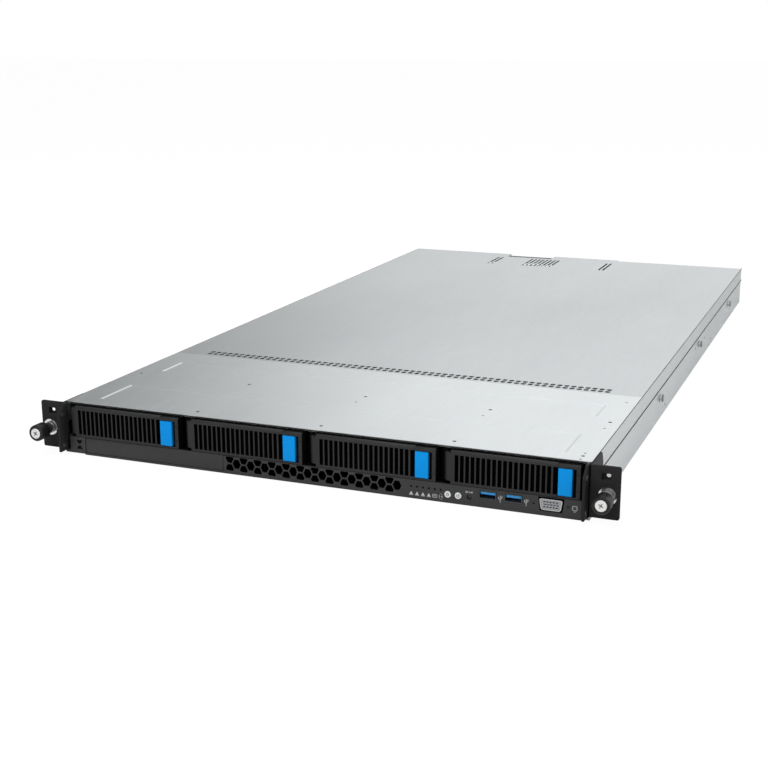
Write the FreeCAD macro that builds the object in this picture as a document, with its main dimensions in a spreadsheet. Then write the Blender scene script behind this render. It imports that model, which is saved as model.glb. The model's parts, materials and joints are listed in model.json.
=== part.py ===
"""A 1U rack server with four hot-swap drive bays, as a parametric FreeCAD assembly.

Millimetres.  Every piece is drawn with X to the right, Y from the rack ears' front face to
the rear and Z up from the underside, and is then placed so that the row's origin is the
middle of the underside.
"""
import FreeCAD, Part
import os
import re

import Sketcher

Vector = FreeCAD.Vector

SIZES = {
    # the case
    "chassis_width": 439.5,
    "chassis_depth": 842.5,
    "chassis_height": 43.0,
    "steel": 1.0,
    "lid_steel": 0.8,
    "lid_flange": 14.6,
    "seat_gap": 0.3,
    "case_front": 2.0,
    "rear_step": 6.0,
    "cover_front": 4.4,
    "cover_lip": 1.5,
    "lid_seam": 186.5,
    "stud_height": 20.0,
    "stud_radius": 2.2,
    "stud_head_radius": 3.4,
    "stud_reach": 2.2,
    "stud_first": 272.0,
    "stud_pitch": 224.0,
    "standoff_span": 420.0,
    "standoff_radius": 3.0,
    "standoff_inset": 14.0,
    "standoff_pitch": 182.0,
    # beads, holes and vents in the two top sheets
    "bead_depth": 0.4,
    "bead_half": 198.3,
    "bead_inset": 15.2,
    "bead_length": 49.0,
    "bead_step": 97.0,
    "rear_bead_length": 37.0,
    "cover_hole_radius": 1.5,
    "cover_hole_shift": 5.4,
    "cover_hole_inset": 11.0,
    "cover_hole_step": 89.7,
    "side_hole_x": 210.4,
    "vent_flats": 4.0,
    "vent_pitch": 6.0,
    "vent_inset": 5.6,
    "vent_row_step": 5.2,
    "vent_count": 63,
    "rear_slot_length": 52.0,
    "rear_slot_width": 2.4,
    "rear_slot_pitch": 5.1,
    "rear_slot_inset": 28.0,
    "slot_group_left": -94.7,
    "slot_group_middle": -48.6,
    "slot_group_right": 51.2,
    "notch_left": -84.0,
    "notch_right": -25.0,
    "notch_depth": 20.0,
    "step_from": 61.5,
    # rack ears and their screws
    "ear_span": 482.6,
    "ear_bottom": 3.4,
    "ear_height": 39.3,
    "ear_sheet": 2.0,
    "ear_corner": 1.6,
    "handle_reach": 11.0,
    "handle_chamfer": 7.5,
    "handle_inset": 3.8,
    "rivet_radius": 2.1,
    "rivet_head": 0.7,
    "rivet_low": 8.2,
    "rivet_high": 34.2,
    "rivet_forward": 6.0,
    "ear_return": 34.0,
    "ear_return_sheet": 1.5,
    "rack_hole_span": 465.1,
    "screw_height": 20.9,
    "window_span": 461.8,
    "window_width": 6.8,
    "window_height": 5.0,
    "window_centre": 34.7,
    "ear_hole_radius": 1.6,
    "ear_hole_shift": 1.1,
    "ear_hole_rise": 0.3,
    "cup_depth": 3.4,
    "cup_wall": 0.8,
    "collar_radius": 6.7,
    "collar_bore": 4.6,
    "collar_proud": 1.6,
    "shank_radius": 4.5,
    "neck_radius": 2.6,
    "thread_radius": 3.0,
    "grip_round": 0.6,
    "cross_length": 4.4,
    "cross_width": 1.0,
    "cross_depth": 1.6,
    "screw_head_radius": 6.7,
    "screw_head_front": 22.2,
    "screw_head_length": 12.0,
    "screw_thread_reach": 9.0,
    "knurl_count": 24,
    "knurl_depth": 0.5,
    "shaft_gap": 0.08,
    # drive bays
    "bay_count": 4,
    "bay_pitch": 108.2,
    "face_front": -1.3,
    "shelf_top": 14.6,
    "cage_sheet": 0.8,
    "cage_front": 10.0,
    "cage_back": 170.0,
    "foot_front": 66.0,
    "shelf_foot": 14.0,
    "shelf_slot_width": 60.0,
    "shelf_slot_inset": 18.0,
    "face_bottom": 15.4,
    "face_top": 40.9,
    "tray_left": -53.2,
    "tray_right": 50.7,
    "tray_rail": 1.2,
    "tray_rail_top": 38.0,
    "tray_bar": 2.0,
    "tray_bar_depth": 3.6,
    "tray_length": 157.0,
    "drive_width": 101.4,
    "drive_height": 25.9,
    "drive_length": 147.0,
    "drive_front": 15.0,
    "drive_side_gap": 0.1,
    "drive_lid": 1.2,
    "drive_lid_inset": 3.0,
    "drive_corner": 1.5,
    "drive_port_left": 14.0,
    "drive_port_width": 34.0,
    "drive_port_height": 6.5,
    "drive_port_depth": 8.0,
    "screw_hole_inset": 28.5,
    "screw_hole_height": 6.35,
    "screw_hole_pitch": 41.6,
    "screw_hole_radius": 1.8,
    "lever_right": 34.2,
    "lever_thick": 3.0,
    "lever_chamfer": 1.0,
    "lever_gap": 0.35,
    "hinge_x": -46.0,
    "hinge_y": 4.4,
    "hinge_pin": 1.2,
    "hinge_lug": 2.2,
    "slot_first": -42.6,
    "slot_pitch": 4.08,
    "slot_width": 2.5,
    "slot_count": 18,
    "slot_rib": 1.58,
    "slot_bottom": 17.5,
    "slot_top": 38.0,
    "latch_left": 34.6,
    "latch_width": 11.5,
    "latch_bottom": 17.2,
    "latch_top": 37.4,
    "latch_proud": 0.8,
    "latch_slit": 1.7,
    "latch_depth": 3.2,
    "latch_middle": 27.3,
    "latch_bevel": 0.4,
    "latch_lip": 2.4,
    "stem_width": 6.0,
    "stem_height": 8.0,
    "lamp_hole": 0.6,
    "lamp_inset": 4.2,
    "lamp_edge": 1.5,
    "lamp_depth": 3.0,
    # the strip under the bays
    "strip_bottom": 2.2,
    "strip_top": 15.0,
    "strip_thick": 2.0,
    "strip_half": 214.4,
    "end_block_right": -199.4,
    "end_block_depth": 9.0,
    "mark_x": -205.3,
    "mark_width": 5.0,
    "mark_neck": 1.6,
    "mark_near": 0.9,
    "mark_far": 3.7,
    "mark_depth": 1.2,
    "plate_bevel": 0.5,
    "clip_inset": 4.0,
    "clip_width": 8.0,
    "clip_reach": 12.0,
    "blank_right": -72.0,
    "grille_seam": -8.4,
    "hex_side": 4.08,
    "hex_wall": 1.0,
    "hex_column": 1.0,
    "hex_centre": 9.0,
    "grille_rim": 1.0,
    "grille_right": 81.4,
    "lamp_first": 85.8,
    "lamp_pitch": 4.64,
    "lamp_count": 6,
    "lamp_height": 9.9,
    "lamp_radius": 0.9,
    "button_height": 7.0,
    "button_radius": 2.5,
    "button_gap": 0.25,
    "button_length": 4.0,
    "button_proud": 0.5,
    "button_round": 0.4,
    "switch_front": 6.2,
    "switch_depth": 5.0,
    "front_board_back": 64.0,
    "power_x": 114.4,
    "locate_x": 122.5,
    "reset_x": 131.0,
    "reset_radius": 1.7,
    "reset_sunk": 2.0,
    "usb_first": 145.0,
    "usb_pitch": 19.4,
    "usb_width": 13.0,
    "usb_height": 6.0,
    "usb_length": 14.0,
    "usb_wall": 0.4,
    "usb_centre": 10.4,
    "tongue_thick": 1.9,
    "tongue_width": 11.2,
    "tongue_gap": 0.7,
    "tongue_reach": 10.0,
    "vga_x": 192.4,
    "vga_height": 9.3,
    "vga_width": 17.0,
    "vga_tall": 8.2,
    "vga_slant": 1.4,
    "vga_hole_span": 25.4,
    "vga_hole_radius": 1.1,
    "vga_flange": 30.8,
    "vga_proud": 0.5,
    "vga_length": 11.0,
    "contact_pitch": 2.3,
    "contact_row": 2.0,
    "contact_hole": 1.1,
    # behind the bays
    "backplane_y": 172.0,
    "plane_window_inset": -8.0,
    "plane_window_width": 52.0,
    "plane_window_bottom": 24.0,
    "board_thick": 1.6,
    "fan_count": 7,
    "fan_pitch": 60.0,
    "fan_size": 39.6,
    "fan_depth": 28.0,
    "fan_bore": 18.6,
    "fan_y": 206.0,
    "fan_cage_margin": 3.0,
    "strut_depth": 4.0,
    "strut_width": 2.4,
    "rotor_inset": 3.0,
    "fan_hub": 9.0,
    "blade_tip": 18.0,
    "blade_count": 7,
    "blade_thick": 1.2,
    "blade_length": 17.0,
    "blade_pitch_root": 52.0,
    "blade_pitch_tip": 34.0,
    "axle_radius": 1.5,
    # the main board
    "standoff": 6.0,
    "board_front": 252.0,
    "board_side_gap": 2.5,
    "memory_front": 292.0,
    "memory_pitch": 7.6,
    "memory_per_group": 8,
    "memory_first": 7.4,
    "memory_outer": 152.4,
    "module_length": 133.4,
    "module_height": 30.0,
    "module_thick": 1.3,
    "socket_length": 142.0,
    "socket_width": 6.2,
    "socket_height": 8.0,
    "module_seat": 3.0,
    "edge_socket": 46.0,
    "edge_socket_depth": 9.0,
    "sink_x": 107.0,
    "sink_width": 78.0,
    "sink_length": 108.0,
    "sink_front": 304.0,
    "sink_base": 5.0,
    "sink_top": 39.5,
    "sink_fins": 20,
    "fin_thick": 0.9,
    # power supplies
    "psu_count": 2,
    "psu_width": 73.5,
    "psu_height": 39.0,
    "psu_length": 185.0,
    "psu_floor_gap": 0.5,
    "psu_side_gap": 1.0,
    "psu_wall": 1.0,
    "psu_fan_x": -16.0,
    "psu_fan_bore": 17.5,
    "psu_fan_depth": 20.0,
    "psu_grille_bar": 1.2,
    "inlet_x": 22.0,
    "inlet_z": 29.0,
    "inlet_width": 25.0,
    "inlet_height": 16.5,
    "inlet_depth": 15.0,
    "inlet_corner": 4.5,
    "inlet_pin_step": 7.0,
    "inlet_pin_drop": 2.0,
    "inlet_pin_width": 2.0,
    "inlet_pin_height": 4.0,
    "psu_handle_x": 5.6,
    "psu_handle_thick": 3.0,
    "psu_handle_reach": 24.0,
    "psu_handle_bar": 5.0,
    "psu_handle_height": 29.0,
    "psu_latch_x": 16.0,
    "psu_latch_thick": 2.4,
    "psu_latch_height": 11.0,
    "psu_latch_reach": 15.0,
    "psu_latch_root": 12.0,
    "psu_latch_bottom": 5.5,
    "psu_latch_room": 4.5,
    "latch_pin": 1.0,
    "psu_axle_end": -7.3,
    "psu_hub": 7.5,
    "psu_blade_tip": 16.8,
    "psu_blade_length": 11.0,
    # rear wall
    "riser_x": -90.0,
    "riser_back_gap": 34.0,
    "riser_length": 118.0,
    "riser_socket_depth": 10.0,
    "riser_socket_inset": 10.0,
    "riser_socket_low": 24.0,
    "slot_vent_columns": 18,
    "slot_vent_rows": 2,
    "card_vent_columns": 11,
    "card_vent_rows": 4,
    "slot_cover_left": -211.0,
    "slot_cover_right": -94.0,
    "slot_cover_bottom": 19.5,
    "slot_cover_top": 37.5,
    "card_cover_left": -86.0,
    "card_cover_right": -6.0,
    "card_cover_bottom": 9.5,
    "card_cover_top": 36.0,
    "port_first": 11.0,
    "port_pitch": 17.6,
    "port_count": 3,
    "port_width": 16.2,
    "port_height": 13.6,
    "port_length": 21.0,
    "port_proud": 0.6,
    "port_mouth_low": 3.4,
    "port_key": 4.2,
    "port_mouth_width": 11.8,
    "port_mouth_height": 8.4,
    "port_mouth_depth": 12.0,
    "rear_vent_pitch": 6.0,
    "rear_vent_width": 3.6,
    "rear_vent_rib": 3.0,
    "rear_vent_count": 19,
}

FUNCTIONS = {"sqrt", "cos", "sin", "tan", "deg"}

# Places worked out from the sizes, as expressions of the sheet.
HALF = "chassis_width / 2"
JOG = "(lid_steel + seat_gap)"
WALL_OUT = f"({HALF} - {JOG})"
WALL_IN = f"({WALL_OUT} - steel)"
UNDER_LID = "(chassis_height - lid_steel)"
WALL_TOP = f"({UNDER_LID} - seat_gap)"
FLANGE_LOW = "(chassis_height - lid_flange)"
SHOULDER = f"({FLANGE_LOW} - 2 * seat_gap)"
REAR = "(chassis_depth - rear_step)"
EAR_TOP = "(ear_bottom + ear_height)"
BOARD_LOW = "(steel + standoff)"
BOARD_TOP = f"({BOARD_LOW} + board_thick)"
FACE_BACK = "(face_front + lever_thick)"
STRIP_BACK = "(face_front + strip_thick)"
PSU_BAY = ("(psu_count * psu_width + (psu_count - 1) * (psu_wall + 2 * psu_side_gap)"
           " + 2 * psu_side_gap)")
PSU_WALL_X = f"({WALL_IN} - {PSU_BAY})"
PSU_LOW = "(steel + psu_floor_gap)"
PSU_FRONT = f"({REAR} - psu_length)"

doc = FreeCAD.newDocument("rack_server")
sheet = doc.addObject("Spreadsheet::Sheet", "Sizes")
pieces = []


def fill_sheet():
    """Write each driving dimension as a named cell."""
    for row, (name, value) in enumerate(SIZES.items(), start=1):
        sheet.set(f"A{row}", name)
        sheet.set(f"B{row}", str(value))
        sheet.setAlias(f"B{row}", name)
    doc.recompute()


def bound(expression):
    """The expression with every size name pointing at the sheet."""
    def point(match):
        word = match.group()
        return word if word in FUNCTIONS else "Sizes." + word
    return re.sub(r"[a-z][a-z_]*", point, str(expression))


def number(expression):
    """The present value of an expression of the sheet."""
    value = sheet.evalExpression(bound(expression))
    return float(getattr(value, "Value", value))


def piece(label, x="0", z="0", y="0"):
    """A new body, placed in the row's frame with its own zero at x, y, z."""
    body = doc.addObject("PartDesign::Body", label)
    body.Label = label
    body.setExpression("Placement.Base.x", bound(x))
    body.setExpression("Placement.Base.y", bound(f"{y} - chassis_depth / 2"))
    body.setExpression("Placement.Base.z", bound(z))
    pieces.append(body)
    return body


def origin_part(body, role):
    """One of the body's own origin planes or axes."""
    return next(part for part in body.Origin.OriginFeatures if part.Role == role)


PLANES = {  # plane: sign of its normal along the third axis
    "XY": 1,
    "XZ": -1,
    "YZ": 1,
}


def new_sketch(body, plane, start):
    """An empty sketch on one of the body's planes, moved to `start` along the third axis."""
    sketch = body.newObject("Sketcher::SketchObject", f"{body.Label}_sketch")
    sketch.AttachmentSupport = [(origin_part(body, f"{plane}_Plane"), "")]
    sketch.MapMode = "FlatFace"
    sketch.setExpression("AttachmentOffset.Base.z", bound(f"({start}) * {PLANES[plane]}"))
    return sketch


def add_polygon(sketch, points):
    """A closed polygon whose corners are pairs of expressions, each tied to the sheet."""
    corners = [(number(across), number(up)) for across, up in points]
    last = len(corners) - 1
    sides = [Part.LineSegment(Vector(*corners[i], 0), Vector(*corners[0 if i == last else i + 1], 0))
             for i in range(len(corners))]
    ids = sketch.addGeometry(sides, False)
    sketch.addConstraint([
        Sketcher.Constraint("Coincident", ids[i], 2, ids[0 if i == last else i + 1], 1)
        for i in range(len(corners))])
    for line, (across, up), (at_x, at_y) in zip(ids, points, corners):
        for kind, expression, value in (("DistanceX", across, at_x), ("DistanceY", up, at_y)):
            index = sketch.addConstraint(Sketcher.Constraint(kind, -1, 1, line, 1, value))
            sketch.setExpression(f"Constraints[{index}]", bound(expression))


def add_circle(sketch, across, up, radius):
    """A circle whose centre and radius are tied to the sheet."""
    centre = Vector(number(across), number(up), 0)
    ring = sketch.addGeometry(Part.Circle(centre, Vector(0, 0, 1), number(radius)), False)
    for kind, expression, value in (("DistanceX", across, centre.x), ("DistanceY", up, centre.y)):
        index = sketch.addConstraint(Sketcher.Constraint(kind, -1, 1, ring, 3, value))
        sketch.setExpression(f"Constraints[{index}]", bound(expression))
    index = sketch.addConstraint(Sketcher.Constraint("Radius", ring, number(radius)))
    sketch.setExpression(f"Constraints[{index}]", bound(radius))


def extrude(body, sketch, plane, span, cut):
    """Pad or pocket the sketch from the low to the high end of `span`."""
    low, high = span
    feature = body.newObject("PartDesign::Pocket" if cut else "PartDesign::Pad",
                             f"{body.Label}_{'cut' if cut else 'pad'}")
    feature.Profile = sketch
    feature.setExpression("Length", bound(f"({high}) - ({low})"))
    feature.Reversed = (PLANES[plane] < 0) != cut
    return feature


def prism(body, plane, points, span, cut=False):
    """Extrude a polygon drawn in `plane` over `span` along the third axis."""
    sketch = new_sketch(body, plane, span[0])
    add_polygon(sketch, points)
    return extrude(body, sketch, plane, span, cut)


def cylinder(body, plane, centre, radius, span, cut=False, bore=None):
    """Extrude a circle, or a ring with a bore, over `span` along the third axis."""
    sketch = new_sketch(body, plane, span[0])
    add_circle(sketch, *centre, radius)
    if bore is not None:
        add_circle(sketch, *centre, bore)
    return extrude(body, sketch, plane, span, cut)


def rectangle(low_x, high_x, low_y, high_y):
    """The four corners of an upright rectangle, as expressions."""
    return [(low_x, low_y), (high_x, low_y), (high_x, high_y), (low_x, high_y)]


def block(body, x, y, z, cut=False):
    """A box between pairs of expressions."""
    return prism(body, "XY", rectangle(*x, *y), z, cut)


def repeat(body, feature, axis, pitch, count):
    """Repeat a feature along one axis of the body."""
    pattern = body.newObject("PartDesign::LinearPattern", f"{body.Label}_row")
    pattern.Originals = [feature]
    pattern.Direction = (origin_part(body, f"{axis}_Axis"), [""])
    pattern.Mode = "Spacing"
    pattern.setExpression("Offset", bound(pitch))
    pattern.setExpression("Occurrences", bound(count))
    pattern.Refine = False
    body.Tip = pattern
    return pattern


def ring_of(body, feature, axis, count):
    """Repeat a feature around one axis of the body."""
    pattern = body.newObject("PartDesign::PolarPattern", f"{body.Label}_ring")
    pattern.Originals = [feature]
    pattern.Axis = (origin_part(body, f"{axis}_Axis"), [""])
    pattern.Angle = 360
    pattern.setExpression("Occurrences", bound(count))
    body.Tip = pattern
    return pattern


def dress(body, kind, chosen, size):
    """Fillet or chamfer the edges of the body's present shape that `chosen` picks."""
    doc.recompute()
    base = body.Tip
    names = [f"Edge{i}" for i, edge in enumerate(base.Shape.Edges, start=1) if chosen(edge)]
    feature = body.newObject(f"PartDesign::{kind}", f"{body.Label}_{kind.lower()}")
    feature.Base = (base, names)
    feature.setExpression("Radius" if kind == "Fillet" else "Size", bound(size))
    body.Tip = feature
    return feature


def along(edge, axis):
    """True if the edge is straight and runs along the axis."""
    if not isinstance(edge.Curve, Part.Line):
        return False
    return abs(abs(edge.Curve.Direction.dot(axis)) - 1) < 1e-6


def near(value, expression):
    """True if a measured place is where the expression says."""
    return abs(value - number(expression)) < 1e-4


def hexagon(across, up, flats, low=None, high=None):
    """A hexagon with level top and bottom edges, cut off at `low` or `high` if given."""
    side = f"({flats}) / sqrt(3)"
    top, bottom = f"{up} + ({flats}) / 2", f"{up} - ({flats}) / 2"
    left, right = f"{across} - {side}", f"{across} + {side}"
    half = f"({side}) / 2"
    if high is not None:
        reach = f"({side} - (({high}) - ({up})) / sqrt(3))"
        return [(f"{across} - {half}", bottom), (f"{across} + {half}", bottom), (right, up),
                (f"{across} + {reach}", high), (f"{across} - {reach}", high), (left, up)]
    if low is not None:
        reach = f"({side} - (({up}) - ({low})) / sqrt(3))"
        return [(f"{across} - {reach}", low), (f"{across} + {reach}", low), (right, up),
                (f"{across} + {half}", top), (f"{across} - {half}", top), (left, up)]
    return [(f"{across} - {half}", bottom), (f"{across} + {half}", bottom), (right, up),
            (f"{across} + {half}", top), (f"{across} - {half}", top), (left, up)]


# ---------------------------------------------------------------- case

def chassis_base():
    """Floor and side walls in one bent sheet, stepped in where the lid's flanges hang."""
    body = piece("chassis_base")
    right = [(HALF, "0"), (HALF, SHOULDER), (WALL_OUT, SHOULDER), (WALL_OUT, WALL_TOP),
             (WALL_IN, WALL_TOP), (WALL_IN, f"{SHOULDER} - steel"),
             (f"{HALF} - steel", f"{SHOULDER} - steel"), (f"{HALF} - steel", "steel")]
    left = [(f"-({across})", up) for across, up in reversed(right)]
    prism(body, "XZ", right + left, ("case_front", REAR))
    for side in (-1, 1):
        for radius, low, high in (
                ("stud_radius", "- steel / 2", "+ stud_reach"),
                ("stud_head_radius", "+ stud_reach", "+ stud_reach + steel")):
            ends = [f"{side} * ({HALF} {low})", f"{side} * ({HALF} {high})"]
            stud = cylinder(body, "YZ", ("stud_first", "stud_height"), radius, ends[::side])
            repeat(body, stud, "Y", "stud_pitch", "3")
    for side in (-1, 1):
        post = cylinder(body, "XY", (f"{side} * standoff_span / 2", "board_front + standoff_inset"),
                        "standoff_radius", ("steel / 2", BOARD_LOW))
        repeat(body, post, "Y", "standoff_pitch", "3")
    return body


def top_sheet(label, front, back):
    """A top sheet with a flange down each side, as a bent channel."""
    body = piece(label)
    right = [(HALF, FLANGE_LOW), (HALF, "chassis_height")]
    left = [(f"-({across})", up) for across, up in reversed(right)]
    inner = [(f"-{HALF} + lid_steel", FLANGE_LOW), (f"-{HALF} + lid_steel", UNDER_LID),
             (f"{HALF} - lid_steel", UNDER_LID), (f"{HALF} - lid_steel", FLANGE_LOW)]
    prism(body, "XZ", right + left + inner, (front, back))
    return body


def front_cover():
    """The fixed cover over the drive bays: a folded lip, two shallow beads and small holes."""
    body = top_sheet("front_cover", "cover_front", "lid_seam - seat_gap")
    block(body, (f"-{WALL_IN} + seat_gap", f"{WALL_IN} - seat_gap"),
          ("cover_front", "cover_front + lid_steel"), ("chassis_height - cover_lip", UNDER_LID))
    beads = (("cover_front + bead_inset", "bead_length"),
             ("cover_front + bead_inset + bead_step", "rear_bead_length"))
    for start, length in beads:
        block(body, ("-bead_half", "bead_half"), (start, f"{start} + {length}"),
              (f"{UNDER_LID} - bead_depth", f"{UNDER_LID} + lid_steel / 2"))
    for start, length in beads:
        block(body, ("-bead_half + lid_steel", "bead_half - lid_steel"),
              (f"{start} + lid_steel", f"{start} + {length} - lid_steel"),
              ("chassis_height - bead_depth", "chassis_height + lid_steel"), cut=True)
    through = (f"{UNDER_LID} - steel", "chassis_height + steel")
    rows = ("cover_front + cover_hole_inset", "cover_front + cover_hole_inset + cover_hole_step")
    sketch = new_sketch(body, "XY", through[0])
    for y in rows:
        add_circle(sketch, "cover_hole_shift - bay_pitch", y, "cover_hole_radius")
    repeat(body, extrude(body, sketch, "XY", through, True), "X", "bay_pitch", "bay_count - 1")
    sketch = new_sketch(body, "XY", through[0])
    for x, y in (("side_hole_x", rows[0]), ("side_hole_x", rows[1]), ("-side_hole_x", rows[1])):
        add_circle(sketch, x, y, "cover_hole_radius")
    extrude(body, sketch, "XY", through, True)
    return body


def rear_lid():
    """The lid: two rows of vents behind the seam, slots over the rear and a stepped back edge."""
    body = top_sheet("rear_lid", "lid_seam", "chassis_depth")
    deep = (f"{FLANGE_LOW} - steel", "chassis_height + steel")
    block(body, ("notch_left", "notch_right"),
          ("chassis_depth - notch_depth", "chassis_depth + steel"), deep, cut=True)
    block(body, ("step_from", f"{HALF} + steel"), (REAR, "chassis_depth + steel"), deep, cut=True)
    dress(body, "Fillet", lambda edge: along(edge, Vector(0, 0, 1))
          and near(edge.BoundBox.YMin, "chassis_depth") and abs(edge.BoundBox.XMin) < number(HALF) - 1,
          "ear_corner")
    for left, count in (("slot_group_left", 2), ("slot_group_middle", 8), ("slot_group_right", 2)):
        front = "chassis_depth - rear_slot_inset - rear_slot_length"
        slot = block(body, (left, f"{left} + rear_slot_width"), (front, f"{front} + rear_slot_length"),
                     (f"{UNDER_LID} - steel", "chassis_height + steel"), cut=True)
        repeat(body, slot, "X", "rear_slot_pitch", count)
    through = (f"{UNDER_LID} - steel", "chassis_height + steel")
    first = "-(vent_count - 1) * vent_pitch / 2"
    sketch = new_sketch(body, "XY", through[0])
    for row in (0, 1):
        add_polygon(sketch, hexagon(f"{first} + {row} * vent_pitch / 2",
                                    f"lid_seam + vent_inset + {row} * vent_row_step", "vent_flats"))
    repeat(body, extrude(body, sketch, "XY", through, True), "X", "vent_pitch", "vent_count")
    return body


def rear_wall():
    """The rear wall, open for the power supplies, the card covers and the ports."""
    body = piece("rear_wall")
    back = (f"{REAR} - steel", REAR)
    cut = (f"{REAR} - 2 * steel", f"{REAR} + steel")
    gap = "seat_gap / 3"
    block(body, (f"-{WALL_IN} + {gap}", PSU_WALL_X), back, (f"steel + {gap}", WALL_TOP))
    block(body, ("slot_cover_left", "slot_cover_right"), cut,
          ("slot_cover_bottom", "slot_cover_top"), cut=True)
    block(body, ("card_cover_left", "card_cover_right"), cut,
          ("card_cover_bottom", "card_cover_top"), cut=True)
    port = block(body, (f"port_first - port_width / 2 - {gap}", f"port_first + port_width / 2 + {gap}"),
                 cut, (f"{BOARD_TOP} - {gap}", f"{BOARD_TOP} + port_height + {gap}"), cut=True)
    repeat(body, port, "X", "port_pitch", "port_count")
    slot = block(body, ("slot_cover_left", "slot_cover_left + rear_vent_width"), cut,
                 ("steel + standoff / 2", "slot_cover_bottom - rear_vent_rib"), cut=True)
    repeat(body, slot, "X", "rear_vent_pitch", "rear_vent_count")
    return body


def psu_cage():
    """The folded wall that makes a tunnel for each power supply."""
    body = piece("psu_cage")
    gap = "seat_gap / 3"
    wall = block(body, (f"{PSU_WALL_X} - psu_wall", PSU_WALL_X), (PSU_FRONT, f"{REAR} - 2 * steel"),
                 (f"steel + {gap}", WALL_TOP))
    repeat(body, wall, "X", "psu_width + 2 * psu_side_gap + psu_wall", "psu_count")
    return body


# ---------------------------------------------------------------- rack ears

def rack_ear(label, side):
    """An ear: plate, handle flange in front, return along the case and a sunk cup with a hole."""
    body = piece(label)
    inner, outer = f"{side} * ({HALF} - ear_sheet)", f"{side} * ear_span / 2"
    face = [inner, outer][::side]
    block(body, face, ("0", "ear_sheet"), ("ear_bottom", EAR_TOP))
    reach = [f"{side} * ({HALF} - ear_sheet - {JOG})", f"{side} * ({HALF} - {JOG})"][::side]
    prism(body, "YZ", [("-handle_reach", "ear_bottom"), ("ear_sheet", "ear_bottom"),
                       ("ear_sheet", EAR_TOP), ("handle_chamfer - handle_reach", EAR_TOP),
                       ("-handle_reach", f"{EAR_TOP} - handle_chamfer")], reach)
    back = [f"{side} * {HALF}", f"{side} * ({HALF} + ear_return_sheet)"][::side]
    prism(body, "YZ", [("ear_sheet / 2", "ear_bottom"), ("ear_return", "ear_bottom"),
                       ("ear_return", f"{EAR_TOP} - handle_chamfer"),
                       ("ear_return - handle_inset", EAR_TOP), ("ear_sheet / 2", EAR_TOP)], back)
    for height in ("rivet_low", "rivet_high"):
        ends = [f"{side} * ({HALF} - ear_sheet - {JOG} - rivet_head)",
                f"{side} * ({HALF} - {JOG} + rivet_head)"][::side]
        cylinder(body, "YZ", ("-rivet_forward", height), "rivet_radius", ends)
    middle = f"{side} * window_span / 2"
    for grow, deep, cut in (("cup_wall", ("ear_sheet / 2", "cup_depth + cup_wall"), False),
                            ("0", ("-steel", "cup_depth"), True)):
        block(body, (f"{middle} - window_width / 2 - {grow}", f"{middle} + window_width / 2 + {grow}"), deep,
              (f"window_centre - window_height / 2 - {grow}", f"window_centre + window_height / 2 + {grow}"), cut)
    cylinder(body, "XZ", (f"{middle} + {side} * ear_hole_shift", "window_centre + ear_hole_rise"), "ear_hole_radius",
             ("ear_sheet", "cup_depth + 2 * cup_wall"), cut=True)
    screw = (f"{side} * rack_hole_span / 2", "screw_height")
    cylinder(body, "XZ", screw, "collar_bore + seat_gap / 3", ("-steel", "2 * ear_sheet"), cut=True)
    dress(body, "Fillet", lambda edge: along(edge, Vector(0, 1, 0))
          and near(abs(edge.BoundBox.XMin), "ear_span / 2"), "ear_corner")
    return body


def screw_collars():
    """The bright bushes pressed into the ears, which hold the thumbscrews captive."""
    body = piece("screw_collars")
    for side in (-1, 1):
        place = (f"{side} * rack_hole_span / 2", "screw_height")
        for radius, span in (("collar_radius", ("-collar_proud", "0")),
                             ("collar_bore", ("-collar_proud / 2", "ear_sheet"))):
            cylinder(body, "XZ", place, radius, span, bore="neck_radius + shaft_gap")
    return body


def thumbscrew(label, side):
    """A turned screw: cross recess, knurled grip, neck in the collar and a blunt thread."""
    body = piece(label, x=f"{side} * rack_hole_span / 2", z="screw_height")
    grip_back = "(screw_head_length - screw_head_front)"
    sketch = new_sketch(body, "YZ", "0")
    add_polygon(sketch, [
        ("-screw_head_front", "0"), ("-screw_head_front", "screw_head_radius - grip_round"),
        ("grip_round - screw_head_front", "screw_head_radius"),
        (f"{grip_back} - grip_round", "screw_head_radius"),
        (grip_back, "screw_head_radius - grip_round"), (grip_back, "shank_radius"),
        ("-collar_proud - seat_gap", "shank_radius"), ("-collar_proud - seat_gap", "neck_radius"),
        ("ear_sheet + seat_gap", "neck_radius"), ("ear_sheet + seat_gap", "thread_radius"),
        ("ear_sheet + screw_thread_reach - steel", "thread_radius"),
        ("ear_sheet + screw_thread_reach", "thread_radius - steel"),
        ("ear_sheet + screw_thread_reach", "0")])
    turned = body.newObject("PartDesign::Revolution", f"{label}_turning")
    turned.Profile = sketch
    turned.ReferenceAxis = (sketch, ["H_Axis"])
    turned.Angle = 360
    doc.recompute()
    groove = prism(body, "XZ", [
        ("-knurl_depth", "screw_head_radius - knurl_depth"), ("knurl_depth", "screw_head_radius - knurl_depth"),
        ("2 * knurl_depth", "screw_head_radius + knurl_depth"),
        ("-2 * knurl_depth", "screw_head_radius + knurl_depth")],
        ("2 * grip_round - screw_head_front", f"{grip_back} - 2 * grip_round"), cut=True)
    ring_of(body, groove, "Y", "knurl_count")
    for wide, tall in (("cross_length", "cross_width"), ("cross_width", "cross_length")):
        block(body, (f"-{wide} / 2", f"{wide} / 2"), ("-screw_head_front - steel", "cross_depth - screw_head_front"),
              (f"-{tall} / 2", f"{tall} / 2"), cut=True)
    return body


# ---------------------------------------------------------------- drive bays

def bay_middle(bay):
    """The middle of a bay, counted from the left."""
    return f"({bay} - (bay_count - 1) / 2) * bay_pitch"


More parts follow.
